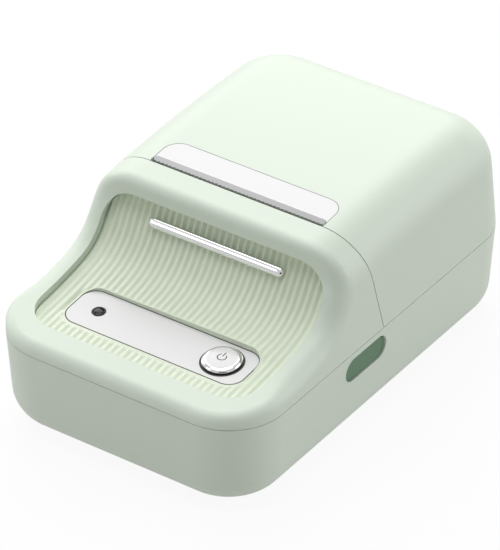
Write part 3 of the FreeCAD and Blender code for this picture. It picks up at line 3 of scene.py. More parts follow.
import json
import logging
import math
from dataclasses import dataclass, field
from enum import Enum
from typing import Callable, Dict, Iterable, List, Sequence, Tuple

import bmesh
import bpy
import numpy as np
from mathutils import Matrix, Vector


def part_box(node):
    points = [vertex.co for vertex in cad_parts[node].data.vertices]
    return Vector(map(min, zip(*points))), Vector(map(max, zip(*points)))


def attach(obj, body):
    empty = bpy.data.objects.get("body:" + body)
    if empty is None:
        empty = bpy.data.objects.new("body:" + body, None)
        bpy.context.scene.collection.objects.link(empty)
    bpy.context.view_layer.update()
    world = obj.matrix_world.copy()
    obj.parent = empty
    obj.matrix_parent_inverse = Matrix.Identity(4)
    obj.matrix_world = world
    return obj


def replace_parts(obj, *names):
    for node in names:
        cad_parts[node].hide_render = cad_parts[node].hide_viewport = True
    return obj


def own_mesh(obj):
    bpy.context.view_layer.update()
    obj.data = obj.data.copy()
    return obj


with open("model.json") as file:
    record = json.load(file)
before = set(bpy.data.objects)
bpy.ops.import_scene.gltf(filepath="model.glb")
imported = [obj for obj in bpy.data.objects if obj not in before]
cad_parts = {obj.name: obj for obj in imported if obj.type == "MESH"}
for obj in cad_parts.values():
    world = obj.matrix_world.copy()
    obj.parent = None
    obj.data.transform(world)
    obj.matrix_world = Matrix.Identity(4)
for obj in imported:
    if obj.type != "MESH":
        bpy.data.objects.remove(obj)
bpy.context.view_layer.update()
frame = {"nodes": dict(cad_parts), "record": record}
MM = 0.001
# Distances in metres within which points of new pieces and of CAD copies merge.
NEW_MERGE = 1e-7
CAD_MERGE = 1e-6
# Least length that a vector is divided by.
TINY = 1e-6
# Angles in degrees: where an edge stays sharp, where a bead's does, and what counts as flat.
CREASE = 40.0
BEAD_CREASE = 80.0
FLAT_ANGLE = 0.5
# Spans in a corner of an outline, in a fine one and round a bead.
CORNER_SPANS = 12
FINE_SPANS = 16
BEAD_SPANS = 10
# Scale of the slow tone changes of every finish, and roughness of every clear coat.
PATCH_SCALE = 60.0
COAT_ROUGH = 0.1
LOG = logging.getLogger("label_printer")

Colour = Tuple[float, float, float]
Pair = Tuple[float, float]
Array = np.ndarray
Tree = bpy.types.NodeTree
Node = bpy.types.Node
Socket = bpy.types.NodeSocket
Material = bpy.types.Material
Mesh = bpy.types.Mesh
Item = bpy.types.Object
Mover = Callable[[Array], Array]
Values = Iterable[Tuple[object, object]]


class Grain(Enum):
    """Surface character of a finish."""

    MOULDED = "moulded"
    BRUSHED = "brushed"
    TURNED = "turned"
    WOVEN = "woven"


class Side(Enum):
    """Side of the case, as the sign of its width coordinate."""

    LEFT = -1
    RIGHT = 1

    @property
    def word(self) -> str:
        """Name of the side in the names of pieces."""
        return self.name.lower()


def add_item(name: str, data: bpy.types.ID) -> Item:
    """Put an object into the scene.

    Args:
        name: Name of the object.
        data: Its mesh, light or camera.

    Returns:
        The new object.
    """
    made = bpy.data.objects.new(name, data)
    bpy.context.scene.collection.objects.link(made)
    return made


def add_material(name: str) -> Material:
    """Make a node material.

    Args:
        name: Name of the material.

    Returns:
        The material, holding a Principled shader and an output.
    """
    made = bpy.data.materials.new(name)
    made.use_nodes = True
    return made


def fill(node: Node, values: Values) -> None:
    """Set inputs of a node, each given by its name or number and its value."""
    for key, value in values:
        node.inputs[key].default_value = value


def add_node(tree: Tree, kind: str, values: Values = (), **settings: object) -> Node:
    """Add a shader node to a tree.

    Args:
        tree: Tree that takes the node.
        kind: Type of the node, without the common prefix.
        values: Name or number of an input, with its value.
        settings: Properties of the node, set before the values.

    Returns:
        The new node.
    """
    node = tree.nodes.new("ShaderNode" + kind)
    for label, setting in settings.items():
        setattr(node, label, setting)
    fill(node, values)
    return node


def wire(tree: Tree, *pairs: Tuple[Socket, Socket]) -> None:
    """Link each output to its input."""
    for source, target in pairs:
        tree.links.new(source, target)


@dataclass
class SurfaceGroups:
    """Shared surface effects, each built once as a node group."""

    made: Dict[Grain, Tree] = field(init=False)

    def __post_init__(self) -> None:
        """Build every group."""
        self.made = {
            Grain.MOULDED: self.moulded_grain(),
            Grain.BRUSHED: self.stretched_grain("Brushed lines", (1.0, 40.0, 40.0)),
            Grain.TURNED: self.stretched_grain("Turned lines", (60.0, 2.0, 2.0)),
            Grain.WOVEN: self.laid_grain(),
        }

    @staticmethod
    def shell(name: str) -> Tree:
        """Start a group with the sockets of every grain, and slow cloudy noise as its Patch output.

        Args:
            name: Name of the group.

        Returns:
            The group, with its Height output still free.
        """
        tree = bpy.data.node_groups.new(name, "ShaderNodeTree")
        sockets = (("Vector", "INPUT", "Vector"), ("Scale", "INPUT", "Float"),
                   ("Patch Scale", "INPUT", "Float"), ("Height", "OUTPUT", "Float"),
                   ("Patch", "OUTPUT", "Float"))
        for label, way, kind in sockets:
            tree.interface.new_socket(name=label, in_out=way, socket_type="NodeSocket" + kind)
        tree.nodes.new("NodeGroupInput").name = "in"
        tree.nodes.new("NodeGroupOutput").name = "out"
        given, cloud = tree.nodes["in"].outputs, add_node(tree, "TexNoise", [("Detail", 2.0)])
        wire(tree, (given["Vector"], cloud.inputs["Vector"]),
             (given["Patch Scale"], cloud.inputs["Scale"]),
             (cloud.outputs["Fac"], tree.nodes["out"].inputs["Patch"]))
        return tree

    @staticmethod
    def joined(tree: Tree, operation: str, textures: Sequence[Tuple[Node, str]]) -> Tree:
        """Feed two textures with the group's place and scale, and join them as its Height output.

        Args:
            tree: The group.
            operation: How the two join.
            textures: Each texture with the name of its output.

        Returns:
            The group.
        """
        given, join = tree.nodes["in"].outputs, add_node(tree, "Math", operation=operation)
        for slot, (texture, result) in enumerate(textures):
            wire(tree, (given["Vector"], texture.inputs["Vector"]),
                 (given["Scale"], texture.inputs["Scale"]),
                 (texture.outputs[result], join.inputs[slot]))
        wire(tree, (join.outputs[0], tree.nodes["out"].inputs["Height"]))
        return tree

    def moulded_grain(self) -> Tree:
        """Fine pebbled grain: cell noise and cloud noise added up.

        Returns:
            The node group.
        """
        tree = self.shell("Moulded grain")
        pebble = add_node(tree, "TexVoronoi", feature="SMOOTH_F1")
        speck = add_node(tree, "TexNoise", [("Detail", 3.0)])
        return self.joined(tree, "ADD", [(pebble, "Distance"), (speck, "Fac")])

    def stretched_grain(self, name: str, stretch: Tuple[float, float, float]) -> Tree:
        """Noise drawn out along one axis, as a brush or a lathe tool leaves it.

        Args:
            name: Name of the group.
            stretch: Factor on each coordinate; a small factor draws the noise out.

        Returns:
            The node group.
        """
        tree = self.shell(name)
        given = tree.nodes["in"].outputs
        scale = add_node(tree, "VectorMath", [(1, stretch)], operation="MULTIPLY")
        line = add_node(tree, "TexNoise", [("Detail", 4.0)])
        wire(tree, (given["Vector"], scale.inputs[0]), (scale.outputs[0], line.inputs["Vector"]),
             (given["Scale"], line.inputs["Scale"]),
             (line.outputs["Fac"], tree.nodes["out"].inputs["Height"]))
        return tree

    def laid_grain(self) -> Tree:
        """Crossed sine bands, like the glass cloth that shows through a circuit board.

        Returns:
            The node group.
        """
        tree = self.shell("Laid cloth")
        waves = [(add_node(tree, "TexWave", bands_direction=axis), "Fac") for axis in ("X", "Y")]
        return self.joined(tree, "MAXIMUM", waves)


@dataclass(frozen=True)
class Finish:
    """One finish: two close tones, a roughness range, a grain and what the shader holds plain."""

    slot: str
    tone: Colour
    tone_far: Colour
    rough: Pair
    metal: float = 0.0
    specular: float = 0.5
    coat: float = 0.0
    grain: Grain = Grain.MOULDED
    grain_scale: float = 2600.0
    grain_depth: float = 0.01

    def material(self, groups: SurfaceGroups) -> Material:
        """Build the material of this finish.

        Args:
            groups: The shared surface effects.

        Returns:
            A node material named after the finish's slot.
        """
        made = add_material(self.slot)
        tree = made.node_tree
        shader = tree.nodes["Principled BSDF"]
        fill(shader, [("Metallic", self.metal), ("Specular IOR Level", self.specular),
                      ("Coat Weight", self.coat), ("Coat Roughness", COAT_ROUGH)])
        place = add_node(tree, "TexCoord")
        scales = [("Scale", self.grain_scale), ("Patch Scale", PATCH_SCALE)]
        effect = add_node(tree, "Group", scales, node_tree=groups.made[self.grain])
        tones = add_node(tree, "Mix", [("A", (*self.tone, 1.0)), ("B", (*self.tone_far, 1.0))],
                         data_type="RGBA")
        rough = add_node(tree, "MapRange", zip(("To Min", "To Max"), self.rough))
        bump = add_node(tree, "Bump", [("Distance", self.grain_depth * MM)])
        wire(tree, (place.outputs["Object"], effect.inputs["Vector"]),
             (effect.outputs["Patch"], tones.inputs["Factor"]),
             (tones.outputs["Result"], shader.inputs["Base Color"]),
             (effect.outputs["Patch"], rough.inputs["Value"]),
             (rough.outputs["Result"], shader.inputs["Roughness"]),
             (effect.outputs["Height"], bump.inputs["Height"]),
             (bump.outputs["Normal"], shader.inputs["Normal"]))
        return made


def grey(level: float) -> Colour:
    """Neutral tone of one level."""
    return (level, level, level)


SHEET_METAL = {"metal": 1.0, "grain": Grain.BRUSHED, "grain_scale": 80.0, "grain_depth": 0.003}
TURNED_METAL = {"metal": 1.0, "grain": Grain.TURNED, "grain_scale": 60.0}
RUBBER = {"grain_scale": 1800.0, "grain_depth": 0.02}
FINISHES = (
    Finish("mint_shell", (0.69, 0.768, 0.665), (0.71, 0.788, 0.685), (0.40, 0.48),
           grain_depth=0.006),
    Finish("mint_ribs", (0.765, 0.835, 0.685), (0.785, 0.855, 0.705), (0.42, 0.50),
           grain_depth=0.006),
    Finish("mint_button", (0.10, 0.215, 0.12), (0.115, 0.235, 0.135), (0.36, 0.44)),
    Finish("white_plate", grey(0.765), grey(0.775), (0.26, 0.28), grain=Grain.BRUSHED,
           grain_scale=90.0, grain_depth=0.003),
    Finish("white_button", grey(0.75), grey(0.77), (0.16, 0.22), coat=0.4, grain_depth=0.002),
    Finish("black_lens", (0.006, 0.006, 0.007), (0.010, 0.010, 0.011), (0.05, 0.10), specular=0.3,
           grain_depth=0.001),
    Finish("chrome_trim", (0.80, 0.80, 0.81), grey(0.84), (0.03, 0.08), metal=1.0,
           grain=Grain.BRUSHED, grain_scale=60.0, grain_depth=0.001),
    Finish("steel", (0.46, 0.46, 0.47), grey(0.54), (0.26, 0.40), grain_depth=0.004,
           **TURNED_METAL),
    Finish("bright_steel", grey(0.55), grey(0.62), (0.22, 0.34), **SHEET_METAL),
    Finish("spring_steel", (0.36, 0.36, 0.365), (0.42, 0.42, 0.425), (0.26, 0.38), **SHEET_METAL),
    Finish("aluminium", (0.62, 0.62, 0.63), (0.68, 0.68, 0.69), (0.36, 0.48), metal=1.0),
    Finish("black_rubber", grey(0.018), grey(0.026), (0.66, 0.80), **RUBBER),
    Finish("foot_rubber", (0.035, 0.036, 0.036), grey(0.05), (0.70, 0.84), **RUBBER),
    Finish("gear_plastic", (0.68, 0.66, 0.58), (0.73, 0.71, 0.63), (0.42, 0.52)),
    Finish("grey_plastic", (0.16, 0.165, 0.165), (0.19, 0.195, 0.195), (0.46, 0.58),
           grain_depth=0.014),
    Finish("dark_plastic", (0.022, 0.023, 0.023), (0.032, 0.033, 0.033), (0.48, 0.60),
           grain_depth=0.014),
    Finish("board_green", (0.010, 0.075, 0.028), (0.014, 0.095, 0.036), (0.26, 0.36),
           grain=Grain.WOVEN, grain_scale=260.0, grain_depth=0.006),
    Finish("brass_bush", (0.56, 0.38, 0.13), (0.64, 0.45, 0.17), (0.22, 0.36), grain_depth=0.003,
           **TURNED_METAL),
    Finish("ceramic", (0.60, 0.54, 0.42), (0.66, 0.60, 0.48), (0.10, 0.18), coat=0.5),
    Finish("battery_wrap", (0.030, 0.085, 0.23), (0.038, 0.10, 0.27), (0.18, 0.30),
           grain_depth=0.004),
)


def lattice(rows: int, cols: int, wrap_rows: bool = False, wrap_cols: bool = False) -> Array:
    """Quads of a grid of points that are numbered row by row.

    Args:
        rows: Number of rows.
        cols: Number of points in a row.
        wrap_rows: Whether the last row joins the first.
        wrap_cols: Whether each row closes on itself.

    Returns:
        Point numbers of the quads, four to a quad.
    """
    i = np.arange(rows if wrap_rows else rows - 1)[:, None]
    j = np.arange(cols if wrap_cols else cols - 1)[None, :]
    below = (i + 1) % rows * cols
    beside = (j + 1) % cols
    corners = np.broadcast_arrays(i * cols + j, i * cols + beside, below + beside, below + j)
    return np.stack(corners, axis=-1).reshape(-1, 4)


def circle(count: int) -> Array:
    """Even angles round a full turn."""
    return np.linspace(0.0, 2 * math.pi, count, endpoint=False)


def heading(turn: Array) -> Array:
    """Unit vector of each angle: its cosine and its sine."""
    return np.stack([np.cos(turn), np.sin(turn)], axis=-1)


def facing(turn: Array) -> Array:
    """Normal of the heading of each angle, a quarter turn to its left."""
    return np.stack([-np.sin(turn), np.cos(turn)], axis=-1)


def smooth_step(low: float, high: float, value: Array) -> Array:
    """Rise from 0 to 1 between two limits along three t squared less two t cubed."""
    t = np.clip((value - low) / (high - low), 0.0, 1.0)
    return t * t * (3.0 - 2.0 * t)


def rounded_rectangle(half_x: float, half_y: float, corner: float,
                      steps: int = CORNER_SPANS) -> Array:
    """Closed outline of a rectangle with quarter-circle corners, anticlockwise from the right side.

    Args:
        half_x: Half of the width.
        half_y: Half of the length.
        corner: Radius of the corners.
        steps: Spans in each quarter circle.

    Returns:
        Points of the outline, one row each.
    """
    turn = np.linspace(0.0, math.pi / 2, steps + 1)
    angle = (np.arange(4)[:, None] * math.pi / 2 + turn[None, :]).reshape(-1)
    signs = np.repeat([[1, 1], [-1, 1], [-1, -1], [1, -1]], steps + 1, axis=0)
    return signs * np.array([half_x - corner, half_y - corner]) + corner * heading(angle)


def at_level(flat: Array, level: float) -> Array:
    """Points of a flat outline lifted to one level."""
    return np.column_stack([flat, np.full(len(flat), level)])


def widened(way: Array, step: Array, reach: Array) -> Tuple[Array, Array]:
    """Flat path moved out along its right-hand normal by each of several amounts.

    Args:
        way: Points of the path.
        step: Direction of the path at each point.
        reach: Amounts to move out.

    Returns:
        First and second coordinates, each points by amounts.
    """
    out = np.stack([step[:, 1], -step[:, 0]], axis=1)
    out = out / np.hypot(out[:, 0], out[:, 1])[:, None]
    return way[:, :1] + out[:, :1] * reach, way[:, 1:] + out[:, 1:] * reach


@dataclass(frozen=True)
class Tag:
    """What a piece is called, the CAD body that it moves with and the record slot that it fills."""

    name: str
    body: str
    slot: str


@dataclass
class Workshop:
    """Makes pieces from arrays and CAD copies; gives each its body, slot, material and shading."""

    materials: Dict[str, Material]
    made: List[str] = field(default_factory=list)

    def enlist(self, tag: Tag, mesh: Mesh) -> Item:
        """Put a finished mesh into the scene as a piece.

        Args:
            tag: Name, body and slot of the piece.
            mesh: Mesh of the piece.

        Returns:
            The new object.
        """
        made = add_item(tag.name, mesh)
        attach(made, tag.body)
        self.made.append(tag.name)
        LOG.info("piece %s: %d faces on %s", tag.name, len(mesh.polygons), tag.body)
        return made

    def paint(self, mesh: Mesh, slot: str) -> None:
        """Give a mesh the material of a slot."""
        mesh.materials.clear()
        mesh.materials.append(self.materials[slot])

    def dress(self, mesh: Mesh, slot: str, crease: float = CREASE) -> None:
        """Give a mesh its material and smooth shading.

        Args:
            mesh: Mesh to dress.
            slot: Material slot of the record.
            crease: Angle in degrees past which an edge stays sharp.
        """
        self.paint(mesh, slot)
        mesh.shade_smooth()
        mesh.set_sharp_from_angle(angle=math.radians(crease))

    @staticmethod
    def weld(mesh: Mesh, near: float, outward: bool = False, flat: bool = False) -> None:
        """Merge doubled points and, if asked, turn faces outwards or join faces that lie flat.

        Args:
            mesh: Mesh to work on.
            near: Distance within which points merge, in metres.
            outward: Whether to turn every face outwards.
            flat: Whether to join flat faces.
        """
        work = bmesh.new()
        work.from_mesh(mesh)
        bmesh.ops.remove_doubles(work, verts=work.verts, dist=near)
        if outward:
            bmesh.ops.recalc_face_normals(work, faces=work.faces)
        if flat:
            bmesh.ops.dissolve_limit(work, angle_limit=math.radians(FLAT_ANGLE), verts=work.verts,
                                     edges=work.edges)
        work.to_mesh(mesh)
        work.free()

    @staticmethod
    def bare(mesh: Mesh, *labels: str) -> None:
        """Take the shading layers of the CAD export off a mesh.

        Args:
            mesh: Mesh to work on.
            labels: Names of further layers to take off.
        """
        layers = {"custom_normal", "sharp_edge", "sharp_face", *labels}
        for label in layers.intersection(mesh.attributes.keys()):
            mesh.attributes.remove(mesh.attributes[label])

    def piece(self, tag: Tag, points: Array, quads: Array, caps: Sequence[Array] = (),
              crease: float = CREASE) -> Item:
        """Turn points and faces into one finished piece.

        Args:
            tag: Name, body and slot of the piece.
            points: Points in millimetres in the case frame, one row each.
            quads: Point numbers of the four-sided faces.
            caps: Point numbers of further faces that close ends.
            crease: Angle in degrees past which an edge stays sharp.

        Returns:
            The new object.
        """
        corners = np.concatenate([quads.reshape(-1), *caps]).astype(np.int32)
        counts = np.concatenate([np.full(len(quads), 4), [len(cap) for cap in caps]])
        counts = counts.astype(np.int32)
        starts = np.concatenate([[0], np.cumsum(counts)[:-1]]).astype(np.int32)
        mesh = bpy.data.meshes.new(tag.name)
        mesh.vertices.add(len(points))
        mesh.vertices.foreach_set("co", (points * MM).astype(np.float32).reshape(-1))
        mesh.loops.add(len(corners))
        mesh.loops.foreach_set("vertex_index", corners)
        mesh.polygons.add(len(counts))
        mesh.polygons.foreach_set("loop_start", starts)
        mesh.update(calc_edges=True)
        mesh.validate()
        self.weld(mesh, NEW_MERGE, outward=True)
        self.dress(mesh, tag.slot, crease)
        return self.enlist(tag, mesh)

    def turned(self, tag: Tag, profile: Array, place: Mover, steps: int,
               ring: bool = False) -> Item:
        """Piece turned about an upright axis: (r, h) goes round as (r cos a, r sin a, h).

        Args:
            tag: Name, body and slot of the piece.
            profile: Radius and height of each profile point.
            place: Moves local points into the case frame.
            steps: Number of spans round the axis.
            ring: Whether the profile is a closed loop.

        Returns:
            The new object.
        """
        flat = profile[:, 0][:, None, None] * heading(circle(steps))[None, :, :]
        height = np.broadcast_to(profile[:, 1][:, None, None], (*flat.shape[:2], 1))
        points = place(np.concatenate([flat, height], axis=-1).reshape(-1, 3))
        quads = lattice(len(profile), steps, wrap_rows=ring, wrap_cols=True)
        return self.piece(tag, points, quads)

    def tube(self, tag: Tag, loops: Array, closed: bool = False, crease: float = CREASE) -> Item:
        """Piece from loops of points carried along a path, with flat ends unless the path closes.

        Args:
            tag: Name, body and slot of the piece.
            loops: Array of loops, each a ring of points.
            closed: Whether the last loop joins the first.
            crease: Angle in degrees past which an edge stays sharp.

        Returns:
            The new object.
        """
        count, around = loops.shape[:2]
        quads = lattice(count, around, wrap_rows=closed, wrap_cols=True)
        first = np.arange(around)
        caps = [] if closed else [first, first + (count - 1) * around]
        return self.piece(tag, loops.reshape(-1, 3), quads, caps, crease)

    def softened(self, tag: Tag, node: str, width: float) -> Item:
        """Copy of a CAD node with its flat faces joined and its sharp edges rounded.

        Args:
            tag: Name, body and slot of the piece.
            node: Name of the CAD node that the copy stands for.
            width: Width of the rounding, in millimetres.

        Returns:
            The new object.
        """
        mesh = frame["nodes"][node].data.copy()
        mesh.name = tag.name
        self.weld(mesh, CAD_MERGE, flat=True)
        self.bare(mesh)
        self.dress(mesh, tag.slot)
        made = self.enlist(tag, mesh)
        rounding = made.modifiers.new("edge", "BEVEL")
        rounding.width = width * MM
        rounding.segments = 3
        rounding.limit_method = "ANGLE"
        rounding.angle_limit = math.radians(CREASE)
        rounding.harden_normals = True
        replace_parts(made, node)
        return made


@dataclass
class FrontLine:
    """Front line of the case in its middle plane: deck, long sweep, tight throat, face (mm)."""

    front: float = -61.5
    deck_height: float = 29.3
    deck_slope: float = 5.8
    sweep_start: float = 18.0
    sweep_radius: float = 100.0
    throat_radius: float = 13.0
    face_slope: float = 62.0
    face_back: float = 50.0
    top: float = 56.2
    overrun: float = 6.0
    samples: int = 933

    def sampled(self, sink: float) -> Tuple[Array, Array, Array]:
        """Points of the line let down by an amount, with the way that its surface faces.

        On each arc a point is the centre less the radius times the normal, which turns with the
        slope. The throat's centre lies where its arc touches both the sweep and the face.

        Args:
            sink: Distance below the outer line.

        Returns:
            Length along the line, points (y, z) and outward normals (y, z).
        """
        slope, steep = math.radians(self.deck_slope), math.radians(self.face_slope)
        deck_long = self.sweep_start / math.cos(slope)
        nose = np.array([self.front, self.deck_height])
        sweep_mid = nose + heading(slope) * deck_long + facing(slope) * self.sweep_radius
        brow = np.array([self.front + self.face_back, self.top])
        face_way, face_up = heading(steep), facing(steep)
        start = brow + face_up * self.throat_radius - sweep_mid
        half = float(start @ face_way)
        rest = float(start @ start) - (self.sweep_radius - self.throat_radius) ** 2
        way = -half - math.sqrt(half * half - rest)
        foot = brow + face_way * way
        throat_mid = foot + face_up * self.throat_radius
        across = sweep_mid - throat_mid
        join = math.atan2(-across[0], across[1])
        deck, face = (np.linspace(0.0, end, self.samples)[:, None]
                      for end in (deck_long, self.overrun - way))
        sweep, throat = (np.linspace(*ends, self.samples)[:-1]
                         for ends in ((slope, join), (join, steep)))
        # The end that two stretches share is left to the second of them.
        runs = [nose + deck[:-1] * heading(slope), sweep_mid - self.sweep_radius * facing(sweep),
                throat_mid - self.throat_radius * facing(throat), foot + face * face_way]
        turn = np.concatenate([np.full(len(deck) - 1, slope), sweep, throat,
                               np.full(len(face), steep)])
        normal = facing(turn)
        line = np.concatenate(runs) - sink * normal
        steps = np.hypot(*np.diff(line, axis=0).T)
        return np.concatenate([[0.0], np.cumsum(steps)]), line, normal


@dataclass
class PlateSeat:
    """Place and outline of the control plate (mm)."""

    centre: Pair = (-40.1, 29.278)
    slope: float = 5.0
    half_x: float = 26.5
    half_y: float = 6.8
    corner: float = 4.2
    thick: float = 1.2
    fit: float = 0.15

    def turn(self) -> Array:
        """Give the case directions (y, z) of the plate's own two axes, along it and above it."""
        slope = math.radians(self.slope)
        return np.stack([heading(slope), facing(slope)])

    def to_case(self, points: Array) -> Array:
        """Move points of the plate's own frame into the case frame by its slope and centre."""
        return np.column_stack([points[:, 0], points[:, 1:] @ self.turn() + self.centre])

    def local(self, y: Array, z: Array) -> Array:
        """Give the distances of case points from the plate's middle, along it and above it."""
        return np.moveaxis((np.stack([y, z], axis=-1) - self.centre) @ self.turn().T, -1, 0)

    def apart(self, x: Array, along: Array) -> Array:
        """Signed distance to the outline: the length of the offset past the inner corner.

        Args:
            x: Width coordinate of the points.
            along: Distance of the points from the plate's middle along its slope.

        Returns:
            Distance, negative inside.
        """
        inner = np.array([self.half_x, self.half_y]) - self.corner
        over = np.abs(np.stack([x, along])) - inner[:, None, None]
        outside = np.hypot(*np.maximum(over, 0.0))
        return outside + np.minimum(over.max(axis=0), 0.0) - self.corner

    def ring(self, grow: float, level: float, steps: int = CORNER_SPANS) -> Array:
        """Outline grown by an amount, at a level of the plate's frame, as case points."""
        flat = rounded_rectangle(self.half_x + grow, self.half_y + grow, self.corner + grow, steps)
        return self.to_case(at_level(flat, level))

    def at(self, x: float) -> Mover:
        """Give a mover that puts points about a spot on the plate's middle line."""
        return lambda points: self.to_case(points + np.array([x, 0.0, 0.0]))


@dataclass
class Assembly:
    """Sub-assembly that makes its pieces in a workshop."""

    shop: Workshop

    def build(self) -> None:
        """Make every piece of the sub-assembly."""
        raise NotImplementedError


@dataclass
class RibbedDeck(Assembly):
    """Reeded panel of the front deck with the well of the control plate (mm)."""

    line: FrontLine
    seat: PlateSeat
    half_width: float = 33.35
    front: float = -53.35
    top: float = 49.15
    corner: float = 8.85
    recess: float = 1.8
    thick: float = 1.2
    pitch: float = 1.9
    ribs: int = 35
    depth: float = 0.72
    deck_share: float = 0.55
    share_heights: Pair = (31.0, 44.0)
    crest: float = 2.0
    margin: float = 1.3
    end_margin: float = 0.25
    margin_span: Pair = (-0.2, 1.5)
    fade_wide: float = 0.6
    dip_limit: float = 0.5
    dip_lift: float = 0.02
    dip_span: Pair = (0.5, 1.5)
    lip: float = 0.6
    lip_reach: float = 6.0
    lip_start: Pair = (-2.5, 0.2)
    lip_growth: Pair = (-24.0, 18.0)
    pocket_half: float = 9.0
    well_top: float = -0.45
    well_wide: float = 1.2
    well_gap: float = 0.02
    rows: int = 120
    rib_spans: int = 10
    body: str = "base"
    slot: str = "mint_ribs"

    def tag(self, name: str) -> Tag:
        """Give the tag of one of the panel's pieces."""
        return Tag(name, self.body, self.slot)

    def columns(self) -> Array:
        """Points across the panel, evenly spaced within each rib.

        Returns:
            Width coordinates from left to right.
        """
        share = np.linspace(-0.5, 0.5, self.rib_spans + 1)[:-1]
        middle = (np.arange(self.ribs) - (self.ribs - 1) / 2)[:, None]
        inner = ((middle + share[None, :]) * self.pitch).reshape(-1)
        ends = [self.ribs * self.pitch / 2, self.half_width]
        return np.concatenate([[-self.half_width], inner, ends])

    def groove(self, x: Array, z: Array) -> Array:
        """Depth below the crest: one less a power of the cosine, and a share of it on the deck."""
        share = self.deck_share + (1.0 - self.deck_share) * smooth_step(*self.share_heights, z)
        return self.depth * share * (1.0 - np.abs(np.cos(math.pi * x / self.pitch)) ** self.crest)

    def rim(self, x: Array, along: Array, above: Array, apart: Array) -> Array:
        """Height that the skin gains near the plate: down to it round it, up behind its right half.

        The dip is the height above the plate, held to a limit and faded away from it. The lip fades
        with the distance from the plate, grows from left to right, and starts at the rear edge.

        Args:
            x: Width coordinate of the skin.
            along: Distance from the plate's middle along its slope.
            above: Height above the plate.
            apart: Distance outside the plate's outline.

        Returns:
            Height to add along the normal.
        """
        dip = np.clip(above + self.dip_lift, 0.0, self.dip_limit)
        dip = dip * (1.0 - smooth_step(*self.dip_span, apart))
        behind = smooth_step(*(self.seat.half_y + edge for edge in self.lip_start), along)
        near = 1.0 - smooth_step(0.0, self.lip_reach, np.maximum(apart, 0.0))
        return self.lip * behind * near * smooth_step(*self.lip_growth, x) - dip * (1.0 - behind)

    def surface(self) -> Tuple[Array, Array]:
        """Upper and under side of the panel on one grid.

        A point is the recess line at its length along the panel, less the groove depth along the
        normal. The front and top ends of each column follow the panel's round corners, and grooves
        fade near the plate.

        Returns:
            Upper and under points, each rows by columns by three.
        """
        length, line, normal = self.line.sampled(self.recess)
        x = self.columns()
        past = np.clip(np.abs(x) - (self.half_width - self.corner), 0.0, self.corner)
        lift = self.corner - np.sqrt(self.corner ** 2 - past ** 2)
        first = np.interp(self.front + lift, line[:, 0], length)
        last = np.interp(self.top - lift, line[:, 1], length)
        share = np.linspace(0.0, 1.0, self.rows)[:, None]
        place = first[None, :] + share * (last - first)[None, :]
        y, z, n_y, n_z = (np.interp(place, length, values) for values in (*line.T, *normal.T))
        wide = np.broadcast_to(x[None, :], place.shape)
        along, above = self.seat.local(y, z)
        apart = self.seat.apart(wide, along)
        ahead = 1.0 - smooth_step(*(edge - self.seat.half_y for edge in self.margin_span), along)
        margin = self.end_margin + (self.margin - self.end_margin) * ahead
        cut = self.groove(wide, z) * smooth_step(0.0, self.fade_wide, apart - margin)
        cut = cut - self.rim(wide, along, above, apart)
        upper, under = (np.stack([wide, y - deep * n_y, z - deep * n_z], axis=-1)
                        for deep in (cut, self.thick))
        return upper, under

    def build(self) -> None:
        """Make the reeded skin, cut the plate's pocket out of it and add the well below."""
        upper, under = self.surface()
        rows, cols = upper.shape[:2]
        total = rows * cols
        index = np.arange(total).reshape(rows, cols)
        rim = np.concatenate([index[0, :-1], index[:-1, -1], index[-1, :0:-1], index[:0:-1, 0]])
        after = np.roll(rim, -1)
        walls = np.stack([rim, after, after + total, rim + total], axis=1)
        top = lattice(rows, cols)
        quads = np.concatenate([top, top[:, ::-1] + total, walls])
        points = np.concatenate([upper.reshape(-1, 3), under.reshape(-1, 3)])
        skin = self.shop.piece(self.tag("ribbed_skin"), points, quads)
        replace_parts(skin, "ribbed_panel")
        self.cut_pocket(skin)
        self.well()

    def cut_pocket(self, skin: Item) -> None:
        """Take the plate's rounded pocket out of the skin.

        Args:
            skin: The reeded skin.
        """
        levels = (-self.pocket_half, self.pocket_half)
        loops = np.stack([self.seat.ring(self.seat.fit, level) for level in levels])
        cutter = self.shop.tube(self.tag("pocket_cutter"), loops)
        self.shop.made.remove("pocket_cutter")
        cut = skin.modifiers.new("pocket", "BOOLEAN")
        cut.operation = "DIFFERENCE"
        cut.solver = "EXACT"
        cut.object = cutter
        graph = bpy.context.evaluated_depsgraph_get()
        mesh = bpy.data.meshes.new_from_object(skin.evaluated_get(graph))
        skin.modifiers.clear()
        skin.data = mesh
        bpy.data.objects.remove(cutter)
        self.shop.dress(mesh, self.slot)

    def well(self) -> None:
        """Tray under the plate: a square section carried round its outline, with a floor."""
        seat, wide = self.seat, self.well_wide
        low = -seat.thick - self.well_gap
        section = ((seat.fit, self.well_top), (seat.fit, low), (wide, low), (wide, self.well_top))
        sides = np.stack([seat.ring(grow, level) for grow, level in section], axis=1)
        self.shop.tube(self.tag("plate_well"), sides, closed=True)
        floor = np.stack([seat.ring(wide, level) for level in (-seat.thick - wide, low)])
        self.shop.tube(self.tag("plate_well_floor"), floor)


